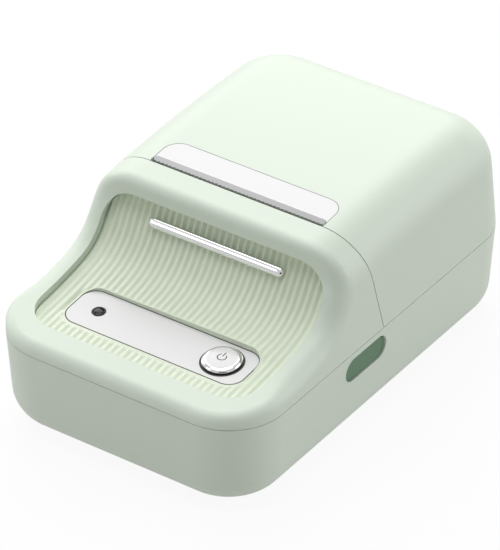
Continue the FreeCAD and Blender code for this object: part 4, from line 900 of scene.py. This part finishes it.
@dataclass
class ControlPlate(Assembly):
    """Sunken white plate with the lamp lens and the power button (mm)."""

    seat: PlateSeat
    edge: float = 0.1
    bead: float = 0.19
    bead_sink: float = 0.13
    lens_x: float = -19.2
    lens_radius: float = 1.7
    lens_inset: float = 0.32
    lens_dome: float = 0.30
    lens_sink: float = 0.02
    ring_inset: float = 0.16
    ring_level: float = 0.05
    ring_half: Pair = (0.15, 0.16)
    lens_steps: int = 48
    arc_points: int = 12
    button_x: float = 18.2
    button_radius: float = 5.1
    button_low: float = -0.6
    button_top: float = 1.5
    button_steps: int = 96
    face_radius: float = 4.0
    face_points: int = 14
    face_fall: float = 0.22
    face_thick: float = 0.5
    face_lip: Pair = (0.06, 0.10)
    shoulder_drop: float = 0.95
    shoulder_sink: float = 0.04
    undercut: Pair = (0.12, 0.05)
    band_bore: float = 0.6
    band_seat: Pair = (0.02, 0.55)
    skirt_top: float = 0.6
    skirt_inset: Pair = (0.1, 0.06)
    skirt_thick: float = 0.3
    well_ring: Pair = (0.08, 0.62)
    well_levels: Pair = (-0.05, 0.03)
    well_bevel: float = 0.04
    stem_head: Pair = (0.62, 0.9)
    stem_radius: float = 1.8
    stem_low: float = -5.6
    mark_radius: float = 1.15
    mark_width: float = 0.26
    mark_rise: float = 0.02
    mark_sink: float = 0.05
    mark_gap: float = 38.0
    mark_bar: Pair = (0.35, 1.75)
    mark_shift: float = 0.15
    mark_points: Tuple[int, int] = (60, 10)

    def build(self) -> None:
        """Make the plate with the dark line of its gap, the lens and the button with its mark."""
        plate = Tag("plate_face", "base", "white_plate")
        self.shop.softened(plate, "control_plate", self.edge)
        self.gap_line()
        self.lens()
        self.button()
        self.under_button()
        self.mark()

    def dome(self, radius: Array) -> Array:
        """Height of the button's face: a shallow dome that falls with the radius squared."""
        return self.button_top - self.face_fall * (radius / self.face_radius) ** 2

    def gap_line(self) -> None:
        """Dark bead in the gap round the plate, painted shade of that gap: a round bead carried
        along the plate's outline.
        """
        section = self.bead * heading(circle(BEAD_SPANS)) + (self.seat.fit / 2, -self.bead_sink)
        ways = [self.seat.ring(grow, level, FINE_SPANS) for grow, level in section]
        # The bead's dark colour is painted shade in the gap round the plate.
        tag = Tag("plate_gap_shade", "base", "dark_plastic")
        self.shop.tube(tag, np.stack(ways, axis=1), closed=True, crease=BEAD_CREASE)

    def lens(self) -> None:
        """Lamp lens: a quarter-ellipse dome inside a narrow raised ring."""
        place, low = self.seat.at(self.lens_x), -self.seat.thick
        inner = self.lens_radius - self.lens_inset
        quarter = heading(np.linspace(0.0, math.pi / 2, self.arc_points))
        dome = quarter * (inner, self.lens_dome) - (0.0, self.lens_sink)
        profile = np.concatenate([[[0.0, low], [inner, low]], dome])
        tag = Tag("lamp_lens", "base", "black_lens")
        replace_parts(self.shop.turned(tag, profile, place, self.lens_steps), "status_lens")
        middle = (self.lens_radius - self.ring_inset, self.ring_level)
        ring = heading(circle(FINE_SPANS)) * self.ring_half + middle
        tag = Tag("lamp_ring", "base", "dark_plastic")
        self.shop.turned(tag, ring, place, self.lens_steps, ring=True)

    def button(self) -> None:
        """White domed face of the power button, and the bright band round it.

        The band's shoulder is a quarter ellipse from the face's edge down to the side.
        """
        place, steps, low = self.seat.at(self.button_x), self.button_steps, self.button_low
        face, side = self.face_radius, self.button_radius
        radius = np.linspace(0.0, face, self.face_points)
        top = np.column_stack([radius, self.dome(radius)])
        edge = top[-1, 1]
        bottom = edge - self.face_thick
        under = [[face + self.face_lip[0], edge - self.face_lip[1]], [face, bottom], [0.0, bottom]]
        tag = Tag("button_face", "power_key", "white_button")
        piece = self.shop.turned(tag, np.concatenate([top, under]), place, steps)
        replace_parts(piece, "power_button")
        turn = np.linspace(0.0, math.pi / 2, self.arc_points)
        fall = self.shoulder_sink + self.shoulder_drop * (1.0 - np.cos(turn))
        shoulder = np.column_stack([face + (side - face) * np.sin(turn), edge - fall])
        waist, bore, seat = side - self.undercut[0], face - self.band_bore, edge - self.band_seat[1]
        inside = [[side, self.skirt_top], [waist, self.skirt_top - self.undercut[1]], [waist, low],
                  [bore, low], [bore, seat], [face - self.band_seat[0], seat]]
        tag = Tag("button_band", "power_key", "chrome_trim")
        self.shop.turned(tag, np.concatenate([shoulder, inside]), place, steps, ring=True)

    def under_button(self) -> None:
        """Dark skirt below the button's band and dark ring round it, both painted shade of the gap
        round the button, and the button's stem.
        """
        place, steps, low = self.seat.at(self.button_x), self.button_steps, self.button_low
        outer, brim = self.button_radius - self.skirt_inset[0], self.skirt_top - self.skirt_inset[1]
        inner = outer - self.skirt_thick
        skirt = np.array([[outer, brim], [outer, low], [inner, low], [inner, brim]])
        # The skirt's black colour is painted shade in the gap under the button's band.
        tag = Tag("button_skirt_shade", "power_key", "black_lens")
        self.shop.turned(tag, skirt, place, steps, ring=True)
        inner, outer = np.add(self.button_radius, self.well_ring)
        sunk, raised = self.well_levels
        well = np.array([[inner, raised], [outer - self.well_bevel, raised], [outer, sunk],
                         [inner, sunk]])
        # The dark ring round the button is painted shade of the gap between button and plate.
        tag = Tag("button_gap_shade", "base", "dark_plastic")
        self.shop.turned(tag, well, place, steps, ring=True)
        head, crown = self.face_radius - self.stem_head[0], self.stem_head[1]
        stem = np.array([[0.0, crown], [head, crown], [head, low], [self.stem_radius, low],
                         [self.stem_radius, self.stem_low], [0.0, self.stem_low]])
        tag = Tag("button_stem", "power_key", "white_button")
        self.shop.turned(tag, stem, place, self.lens_steps)

    def mark(self) -> None:
        """Power mark: a broken ring and a short bar, each a thin band laid on the domed face."""
        gap = math.radians(self.mark_gap)
        ring_points, bar_points = self.mark_points
        turn = math.pi / 2 + np.linspace(gap, 2 * math.pi - gap, ring_points)
        sides = np.array([-0.5, 0.5]) * self.mark_width
        ring = (self.mark_radius + sides)[None, :, None] * heading(turn)[:, None, :]
        along = np.linspace(*self.mark_bar, bar_points) * self.mark_radius - self.mark_shift
        bar = np.stack(np.broadcast_arrays(sides[None, :], along[:, None]), axis=-1)
        for word, flat in (("ring", ring), ("bar", bar)):
            tag = Tag("power_mark_" + word, "power_key", "dark_plastic")
            self.shop.tube(tag, self.laid_band(flat))

    def laid_band(self, flat: Array) -> Array:
        """Loops of a thin band: two edges on the dome, then the same edges sunk into it.

        Args:
            flat: The two edge points of each loop, seen from above.

        Returns:
            Loops of four points in the case frame.
        """
        level = self.dome(np.hypot(flat[..., 0], flat[..., 1]))
        raised, sunk = (np.concatenate([flat, (level + lift)[..., None]], axis=-1)
                        for lift in (self.mark_rise, -self.mark_sink))
        loops = np.concatenate([raised, sunk[:, ::-1]], axis=1)
        return self.seat.at(self.button_x)(loops.reshape(-1, 3)).reshape(loops.shape)


@dataclass
class TrimBar(Assembly):
    """Bright bar across the steep face, held off the ribs by two feet (mm)."""

    line: FrontLine
    middle_z: float = 42.85
    half_long: float = 20.3
    half_tall: float = 1.35
    stand: float = 0.55
    build_up: float = 0.8
    sink: float = 1.8
    foot_x: float = 14.0
    foot_radius: float = 0.7
    foot_sink: float = 0.5
    crease: float = 60.0
    stations: int = 81
    around: int = 28
    body: str = "base"
    slot: str = "chrome_trim"

    def seat(self) -> Tuple[Array, Array, Array]:
        """Find the bar's place on the face.

        Returns:
            A point on the rib crests, the way up the face and the way out.
        """
        _, line, normal = self.line.sampled(self.sink)
        index = int(np.argmin(np.abs(line[:, 1] - self.middle_z)))
        out = np.array([0.0, *normal[index]])
        up = np.cross(np.array([1.0, 0.0, 0.0]), -out)
        return np.array([0.0, *line[index]]), up, out

    def build(self) -> None:
        """Make the bar and its feet.

        The bar's section is an ellipse that keeps its size up to the last stretch of each end,
        where it closes along a quarter circle.
        """
        spot, up, out = self.seat()
        side = np.array([1.0, 0.0, 0.0])
        along = self.half_long * np.sin(np.linspace(-math.pi / 2, math.pi / 2, self.stations))
        past = np.clip(np.abs(along) - (self.half_long - self.half_tall), 0.0, self.half_tall)
        swell = np.sqrt(1.0 - (past / self.half_tall) ** 2)[:, None, None]
        ring = heading(circle(self.around))
        rise, deep = np.moveaxis(swell * ring * (self.half_tall, self.build_up), -1, 0)[..., None]
        loops = spot + along[:, None, None] * side + rise * up + (deep + self.stand) * out
        tag = Tag("trim_bar_bright", self.body, self.slot)
        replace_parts(self.shop.tube(tag, loops[1:-1], crease=self.crease), "trim_bar")
        ring = ring * self.foot_radius
        for index, x in enumerate((-self.foot_x, self.foot_x)):
            disc = spot + (x + ring[:, :1]) * side + ring[:, 1:] * up
            feet = np.stack([disc - self.foot_sink * out, disc + self.stand * out])
            self.shop.tube(Tag("trim_foot_%d" % index, self.body, self.slot), feet)


@dataclass
class BrowHood(Assembly):
    """Front cover with its brow stood up over the panel, as a flat top and a tight roll (mm)."""

    face_y: float = -15.17
    face_z: float = 49.3
    face_slope: float = 62.0
    lift_z: float = 46.0
    lean: float = 1.05
    soft: float = 3.0
    skin: Pair = (2.4, 3.2)
    drop: float = 0.09
    core_x: float = 24.2
    core_y: float = -45.7
    plan_radius: float = 15.8
    rim_reach: float = 5.05
    rim_trim: float = 2.2
    rim_foot: Pair = (26.1, 27.2)
    rim_fade: Pair = (-50.0, -36.0)
    rim_slack: float = -0.02
    deck_slope: float = 5.8
    slot: str = "mint_shell"

    def shear(self, points: Array) -> Tuple[Array, Array, Array]:
        """Forward shift of each point, and its slopes along y and z.

        Above the lift height the shift grows with height: a parabola over the soft span, then a
        straight ramp of lean times the cotangent of the face's slope. It fades to nothing with the
        depth behind the face, so that the panel's ledge and the lid's seam stay.

        Args:
            points: Points of the cover in millimetres.

        Returns:
            The shift, its slope along y and its slope along z.
        """
        steep = math.radians(self.face_slope)
        back = 1.0 / math.tan(steep)
        rise = points[:, 2] - self.lift_z
        bend = (rise + self.soft) ** 2 / (4 * self.soft)
        ramp = np.where(np.abs(rise) < self.soft, bend, np.maximum(rise, 0.0)) * self.lean * back
        climb = self.lean * back * np.clip((rise + self.soft) / (2 * self.soft), 0.0, 1.0)
        low, high = self.skin
        behind = points[:, 1] - self.face_y - (points[:, 2] - self.face_z) * back
        depth = behind * math.sin(steep)
        share = 1.0 - smooth_step(low, high, depth)
        t = np.clip((depth - low) / (high - low), 0.0, 1.0)
        # The slope of the smooth step is 6 t (1 - t) over its span.
        fall = ramp * 6.0 * t * (1.0 - t) / (high - low) * math.sin(steep)
        return ramp * share, -fall, climb * share + fall * back

    def tighten(self, points: Array, normals: Array) -> Array:
        """Move of each point that makes the front rim's roll tighter.

        A roll of radius R between deck and wall becomes one of R less the trim when its centre
        moves out: a point whose normal is a times the deck's plus b times the wall's moves by the
        trim times (1 - a) along the first and (1 - b) along the second, and keeps its normal.

        Args:
            points: Points of the cover in millimetres.
            normals: Unit normals at the points.

        Returns:
            The move of each point.
        """
        deck = np.array([0.0, *facing(math.radians(self.deck_slope))])
        out = np.zeros_like(points)
        wide = np.maximum(np.abs(points[:, 0]) - self.core_x, 0.0)
        out[:, 0] = np.sign(points[:, 0]) * wide
        out[:, 1] = np.minimum(points[:, 1] - self.core_y, 0.0)
        reach = np.linalg.norm(out, axis=1)
        out /= np.maximum(reach, TINY)[:, None]
        up, side = normals @ deck, np.sum(normals * out, axis=1)
        on_roll = reach > self.plan_radius - self.rim_reach
        on_roll &= (up > self.rim_slack) & (side > self.rim_slack)
        share = smooth_step(*self.rim_foot, points[:, 2])
        share = share * (1.0 - smooth_step(*self.rim_fade, points[:, 1]))
        share = self.rim_trim * np.where(on_roll, share, 0.0)
        along_deck, along_out = (share * (1.0 - np.clip(part, 0.0, 1.0)) for part in (up, side))
        return along_deck[:, None] * deck + along_out[:, None] * out

    def build(self) -> None:
        """Shear a merged copy of the cover, turn its normals alike, and tighten the front rim."""
        mesh = frame["nodes"]["front_cover"].data.copy()
        mesh.name = "cover_hood"
        held = np.empty(3 * len(mesh.loops))
        mesh.corner_normals.foreach_get("vector", held)
        layer = mesh.attributes.new("held_normal", "FLOAT_VECTOR", "CORNER")
        layer.data.foreach_set("vector", held)
        self.shop.weld(mesh, CAD_MERGE)
        spots, normals = np.empty(3 * len(mesh.vertices)), np.empty(3 * len(mesh.loops))
        corners = np.empty(len(mesh.loops), dtype=np.int32)
        mesh.vertices.foreach_get("co", spots)
        mesh.loops.foreach_get("vertex_index", corners)
        mesh.attributes["held_normal"].data.foreach_get("vector", normals)
        spots, normals = spots.reshape(-1, 3) / MM, normals.reshape(-1, 3)
        shift, along_y, along_z = self.shear(spots)
        ahead = normals[:, 1] / (1.0 - along_y[corners])
        turned = np.stack([normals[:, 0], ahead, normals[:, 2] + along_z[corners] * ahead], axis=1)
        turned /= np.linalg.norm(turned, axis=1)[:, None]
        mean = np.stack([np.bincount(corners, part, len(spots)) for part in normals.T], axis=1)
        mean /= np.maximum(np.linalg.norm(mean, axis=1), TINY)[:, None]
        spots += self.tighten(spots, mean)
        spots[:, 1] -= shift
        spots[:, 2] -= self.drop * shift
        mesh.vertices.foreach_set("co", (spots * MM).ravel())
        self.shop.bare(mesh, "held_normal")
        self.shop.paint(mesh, self.slot)
        mesh.shade_smooth()
        mesh.normals_split_custom_set(turned.tolist())
        made = self.shop.enlist(Tag("cover_hood", "base", self.slot), mesh)
        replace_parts(made, "front_cover")


@dataclass
class ExitSlot(Assembly):
    """White exit plate on the lid with the toothed tear strip along its front edge (mm)."""

    edge: float = 0.1
    teeth: int = 44
    tooth_deep: float = 0.3
    strip_inset: float = 0.2
    strip_long: float = 1.5
    strip_slope: float = 58.0
    strip_back: float = 0.35
    strip_rise: float = 0.7
    strip_thick: float = 0.18
    strip_gap: float = 0.03
    edge_rise: float = 0.06
    crease: float = 25.0
    crown_y: float = 28.5
    crown_z: float = -363.8
    crown_radius: float = 420.0
    corner: float = 4.5
    gap: float = 0.12
    bead: float = 0.13
    bead_sink: float = 0.1
    body: str = "lid_body"

    def crown(self, y: Array) -> Array:
        """Height of the crowned lid: the arc's centre plus the root of R squared less y squared."""
        return self.crown_z + np.sqrt(self.crown_radius ** 2 - (y - self.crown_y) ** 2)

    def build(self) -> None:
        """Make the plate with soft edges, the toothed strip and the dark line of its gap."""
        plate = Tag("exit_plate_face", self.body, "white_plate")
        self.shop.softened(plate, "exit_plate", self.edge)
        self.strip()
        self.gap_line()

    @staticmethod
    def box() -> Tuple[Array, Array]:
        """Give the lower and upper corner of the plate's box."""
        low, high = (np.array(corner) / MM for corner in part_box("exit_plate"))
        return low, high

    def strip(self) -> None:
        """Low metal ridge on the plate's front edge that falls steeply forward.

        Each second point of its lower edge steps back by the depth of a tooth.
        """
        low, high = self.box()
        x = np.linspace(low[0] + self.strip_inset, high[0] - self.strip_inset, 2 * self.teeth + 1)
        front = np.full(len(x), low[1] - self.strip_gap)
        top = self.crown(front)
        steep, thick = math.radians(self.strip_slope), self.strip_thick
        ridge_y, ridge_z = front + self.strip_back, top + self.strip_rise
        fall = self.strip_long - self.tooth_deep * (np.arange(len(x)) % 2)
        tip_y, tip_z = ridge_y - fall * math.cos(steep), ridge_z - fall * math.sin(steep)
        corners = [(ridge_y + thick, top - thick), (ridge_y + self.edge_rise, ridge_z),
                   (ridge_y, ridge_z), (tip_y, tip_z), (tip_y + self.edge_rise, tip_z - thick),
                   (front + thick, top - 2 * thick)]
        loops = np.stack([np.stack([x, y, z], axis=-1) for y, z in corners], axis=1)
        self.shop.tube(Tag("tear_teeth", self.body, "spring_steel"), loops, crease=self.crease)

    def gap_line(self) -> None:
        """Dark bead round the plate, painted shade of its gap: a bead carried along its sides and
        rounded rear corners.
        """
        low, high = self.box()
        half_x, half_y = (high[:2] - low[:2]) / 2
        grow = self.gap / 2
        wide = half_x + grow
        flat = rounded_rectangle(wide, half_y + grow, self.corner + grow, FINE_SPANS)
        rear = flat[flat[:, 1] > -half_y + self.corner]
        way = np.concatenate([[[wide, -half_y]], rear, [[-wide, -half_y]]])
        out, rise = self.bead * heading(circle(BEAD_SPANS)).T
        x, y = widened(way, np.gradient(way, axis=0), out)
        y = y + (high[1] + low[1]) / 2
        loops = np.stack([x, y, self.crown(y) - self.bead_sink + rise], axis=-1)
        # The bead's dark grey colour is painted shade in the gap round the exit plate.
        self.shop.tube(Tag("exit_gap_shade", self.body, "grey_plastic"), loops, crease=BEAD_CREASE)


@dataclass
class ReleaseButtons(Assembly):
    """Oval push buttons in the sides of the base, each in a fine raised ring (mm)."""

    centre_y: float = -9.0
    centre_z: float = 20.7
    half_long: float = 8.9
    half_tall: float = 3.4
    edge: float = 0.35
    wall_x: float = 40.0
    part_z: float = 25.8
    draft: float = 2.6
    ring_radius: float = 0.28
    ring_sink: float = 0.16
    ring_points: int = 12
    end_flat: float = 0.01

    def build(self) -> None:
        """Make both buttons with soft edges, and the ring round each window."""
        for side in Side:
            node = "release_button_" + side.word
            cap = Tag(node + "_cap", "release_" + side.word, "mint_button")
            self.shop.softened(cap, node, self.edge)
            self.ring(side)

    def ring(self, side: Side) -> None:
        """Round bead carried along the window's outline, half sunk in the leaning wall.

        Args:
            side: Side of the case that the ring stands on.
        """
        long, tall = self.half_long + self.ring_radius, self.half_tall + self.ring_radius
        flat = rounded_rectangle(long, tall, tall - self.end_flat, FINE_SPANS)
        out, rise = self.ring_radius * heading(circle(self.ring_points)).T
        y, z = widened(flat, np.roll(flat, -1, axis=0) - np.roll(flat, 1, axis=0), out)
        y, z = y + self.centre_y, z + self.centre_z
        wall = self.wall_x - (self.part_z - z) * math.tan(math.radians(self.draft))
        loops = np.stack([side.value * (wall - self.ring_sink + rise), y, z], axis=-1)
        tag = Tag("release_ring_" + side.word, "base", "mint_shell")
        self.shop.tube(tag, loops, closed=True, crease=BEAD_CREASE)


@dataclass
class LeafSprings(Assembly):
    """Folded leaves behind the release slides (mm)."""

    travel: float = 1.6
    edge: float = 0.05

    def build(self) -> None:
        """Copy both leaves with soft edges, each on a mesh of its own."""
        for side in Side:
            node = "release_spring_" + side.word
            tag = Tag("release_leaf_" + side.word, "base", "spring_steel")
            leaf = self.shop.softened(tag, node, self.edge)
            low, high = (np.array(corner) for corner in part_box(node))
            seat = (low + high) / 2
            seat[0] = high[0] if side is Side.LEFT else low[0]
            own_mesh(leaf)


@dataclass
class SeamTongue(Assembly):
    """Thin tongue that closes the parting line behind its fine groove (mm)."""

    half_x: float = 40.0
    half_y: float = 61.5
    corner: float = 15.8
    inset: float = 0.2
    deep: float = 1.0
    levels: Pair = (25.7, 26.02)
    corner_spans: int = 24

    def build(self) -> None:
        """Carry a flat section round the case, set back from its outline."""
        low, high = self.levels
        section = ((self.inset, low), (self.inset, high), (self.deep, high), (self.deep, low))
        ways = []
        for back, level in section:
            flat = rounded_rectangle(self.half_x - back, self.half_y - back, self.corner - back,
                                     self.corner_spans)
            ways.append(at_level(flat, level))
        tag = Tag("seam_tongue", "base", "mint_shell")
        self.shop.tube(tag, np.stack(ways, axis=1), closed=True)


@dataclass
class CarriedNodes(Assembly):
    """CAD nodes whose own shape is shown, each dressed with the finish of its record slot."""

    def build(self) -> None:
        """Give every node of the frame the material that its slot names."""
        slots = {part["node"]: part["material_slot"] for part in frame["record"]["subparts"]}
        for name, item in frame["nodes"].items():
            self.shop.paint(item.data, slots[name])
            LOG.info("node %s dressed as %s", name, slots[name])


@dataclass(frozen=True)
class Lamp:
    """One soft round lamp: where it hangs, its size and its power."""

    name: str
    place: Tuple[float, float, float]
    wide: float
    power: float

    def hang(self, aim: Vector) -> None:
        """Put the lamp into the scene.

        Args:
            aim: Point that the lamp is turned to.
        """
        light = bpy.data.lights.new(self.name, "AREA")
        light.shape = "DISK"
        light.size = self.wide
        light.energy = self.power
        made = add_item(self.name, light)
        made.location = self.place
        made.rotation_euler = (aim - Vector(self.place)).to_track_quat("-Z", "Y").to_euler()


LAMPS = (
    Lamp("top_panel", (-0.2, -0.05, 1.6), 1.4, 13.0),
    Lamp("rear_panel", (-0.75, 1.07, 0.95), 1.4, 11.5),
    Lamp("right_panel", (1.3, 0.95, 0.5), 1.3, 8.8),
    Lamp("front_panel", (-1.1, -1.15, 0.7), 0.9, 3.2),
    Lamp("left_panel", (-1.45, 0.3, 0.6), 1.2, 5.0),
)


@dataclass
class Studio:
    """Plain white floor, soft lamps and the camera of the reference view."""

    azimuth: float = 34.88
    elevation: float = 34.47
    focal_pixels: float = 4491.0
    pixels_per_mm: float = 3.915
    aim_right: float = -1.23
    aim_up: float = 20.18
    floor_lift: float = 0.7
    image_height: int = 550
    sensor: float = 36.0
    far: float = 20.0
    lamp_aim_z: float = 0.03
    world_level: float = 0.225
    mirror_level: float = 0.7
    floor_half: float = 4.0
    floor_tone: float = 0.6
    floor_glow: float = 0.85
    floor_bounce: float = 0.3
    glow_level: float = 1.065
    card_tone: float = 0.01
    card_distance: float = 0.8
    card_half: float = 0.28
    card_span: Pair = (0.0, 0.42)

    def build(self) -> None:
        """Set up floor, card, world, lamps, view settings and camera."""
        self.floor()
        self.card()
        self.world()
        for lamp in LAMPS:
            lamp.hang(Vector((0.0, 0.0, self.lamp_aim_z)))
        bpy.context.scene.view_settings.view_transform = "Standard"
        self.camera()

    @staticmethod
    def sheet(name: str, corners: Array, paint: Material) -> Item:
        """Put one flat sheet into the scene.

        Args:
            name: Name of the sheet.
            corners: Its four corners in metres.
            paint: Its material.

        Returns:
            The new object.
        """
        mesh = bpy.data.meshes.new(name)
        mesh.from_pydata(corners.tolist(), [], [(0, 1, 2, 3)])
        mesh.materials.append(paint)
        return add_item(name, mesh)

    @staticmethod
    def by_ray(tree: Tree, ray: str, low: float, high: float) -> Socket:
        """Make a value that depends on the kind of ray.

        Args:
            tree: Tree that takes the nodes.
            ray: Output of the Light Path node.
            low: Value for all other rays.
            high: Value for this kind of ray.

        Returns:
            The socket that gives the value.
        """
        path = add_node(tree, "LightPath")
        level = add_node(tree, "Math", [(1, high - low), (2, low)], operation="MULTIPLY_ADD")
        wire(tree, (path.outputs[ray], level.inputs[0]))
        return level.outputs[0]

    @staticmethod
    def blend(tree: Tree, share: Socket, first: Node, second: Node, end: Node) -> None:
        """Mix two shaders into the surface of an output node.

        Args:
            tree: Tree that takes the nodes.
            share: Socket that gives the share of the second shader.
            first: First shader.
            second: Second shader.
            end: Output node.
        """
        mix = add_node(tree, "MixShader")
        wire(tree, (share, mix.inputs[0]), (first.outputs[0], mix.inputs[1]),
             (second.outputs[0], mix.inputs[2]), (mix.outputs[0], end.inputs["Surface"]))

    def floor(self) -> None:
        """Wide pale floor that keeps the shadow, shows white to the camera and sends light up."""
        paint = add_material("floor_white")
        tree = paint.node_tree
        tree.nodes.remove(tree.nodes["Principled BSDF"])
        matt = add_node(tree, "BsdfDiffuse", [("Color", (*grey(self.floor_tone), 1.0))])
        glow = add_node(tree, "Emission", [("Strength", self.glow_level)])
        share = self.by_ray(tree, "Is Camera Ray", self.floor_bounce, self.floor_glow)
        self.blend(tree, share, matt, glow, tree.nodes["Material Output"])
        corners = np.array([(-1.0, -1.0, 0.0), (1.0, -1.0, 0.0), (1.0, 1.0, 0.0), (-1.0, 1.0, 0.0)])
        self.sheet("floor", corners * self.floor_half, paint)

    def card(self) -> None:
        """Black card on the camera's side that only reflections see, for the metal's dark edges."""
        paint = add_material("card_black")
        fill(paint.node_tree.nodes["Principled BSDF"],
             [("Base Color", (*grey(self.card_tone), 1.0)), ("Roughness", 1.0),
              ("Specular IOR Level", 0.0)])
        turn = math.radians(self.azimuth)
        side = self.card_half * heading(turn)
        spot = -self.card_distance * facing(turn)
        low, high = self.card_span
        corners = [(*(spot - side), low), (*(spot + side), low), (*(spot + side), high),
                   (*(spot - side), high)]
        made = self.sheet("dark_card", np.array(corners), paint)
        made.visible_camera = False
        made.visible_diffuse = False
        made.visible_shadow = False

    def world(self) -> None:
        """Even surround: white to the camera, pale in reflections and dimmer as light."""
        world = bpy.data.worlds.new("surround")
        bpy.context.scene.world = world
        world.use_nodes = True
        tree = world.node_tree
        dim, paper = tree.nodes["Background"], ("Color", (*grey(1.0), 1.0))
        fill(dim, [paper])
        white = add_node(tree, "Background", [paper, ("Strength", 1.0)])
        level = self.by_ray(tree, "Is Glossy Ray", self.world_level, self.mirror_level)
        wire(tree, (level, dim.inputs["Strength"]))
        share = self.by_ray(tree, "Is Camera Ray", 0.0, 1.0)
        self.blend(tree, share, dim, white, tree.nodes["World Output"])

    def camera(self) -> None:
        """Camera of the reference view; its distance is the focal length over the scale."""
        a, e = math.radians(self.azimuth), math.radians(self.elevation)
        right = Vector((math.cos(a), math.sin(a), 0.0))
        back = Vector((math.sin(a) * math.cos(e), -math.cos(a) * math.cos(e), math.sin(e)))
        up = back.cross(right)
        spot = back * (self.focal_pixels / self.pixels_per_mm) + right * self.aim_right
        spot = spot + up * self.aim_up + Vector((0, 0, self.floor_lift))
        data = bpy.data.cameras.new("camera")
        data.sensor_width = self.sensor
        data.lens = self.focal_pixels * self.sensor / self.image_height
        data.clip_end = self.far
        made = add_item("camera", data)
        turn = Matrix((right, up, back)).transposed().to_4x4()
        made.matrix_world = Matrix.Translation(spot * MM) @ turn
        bpy.context.scene.camera = made


def main() -> None:
    """Build the finishes, the pieces and the studio in order."""
    logging.basicConfig(level=logging.INFO, format="%(name)s: %(message)s")
    groups = SurfaceGroups()
    shop = Workshop({finish.slot: finish.material(groups) for finish in FINISHES})
    line, seat = FrontLine(), PlateSeat()
    assemblies = (CarriedNodes(shop), RibbedDeck(shop, line, seat), ControlPlate(shop, seat),
                  TrimBar(shop, line), BrowHood(shop), ExitSlot(shop), ReleaseButtons(shop),
                  LeafSprings(shop), SeamTongue(shop))
    for assembly in assemblies:
        assembly.build()
    Studio().build()
    LOG.info("%d new pieces on %d nodes", len(shop.made), len(frame["nodes"]))


if __name__ == "__main__":
    main()
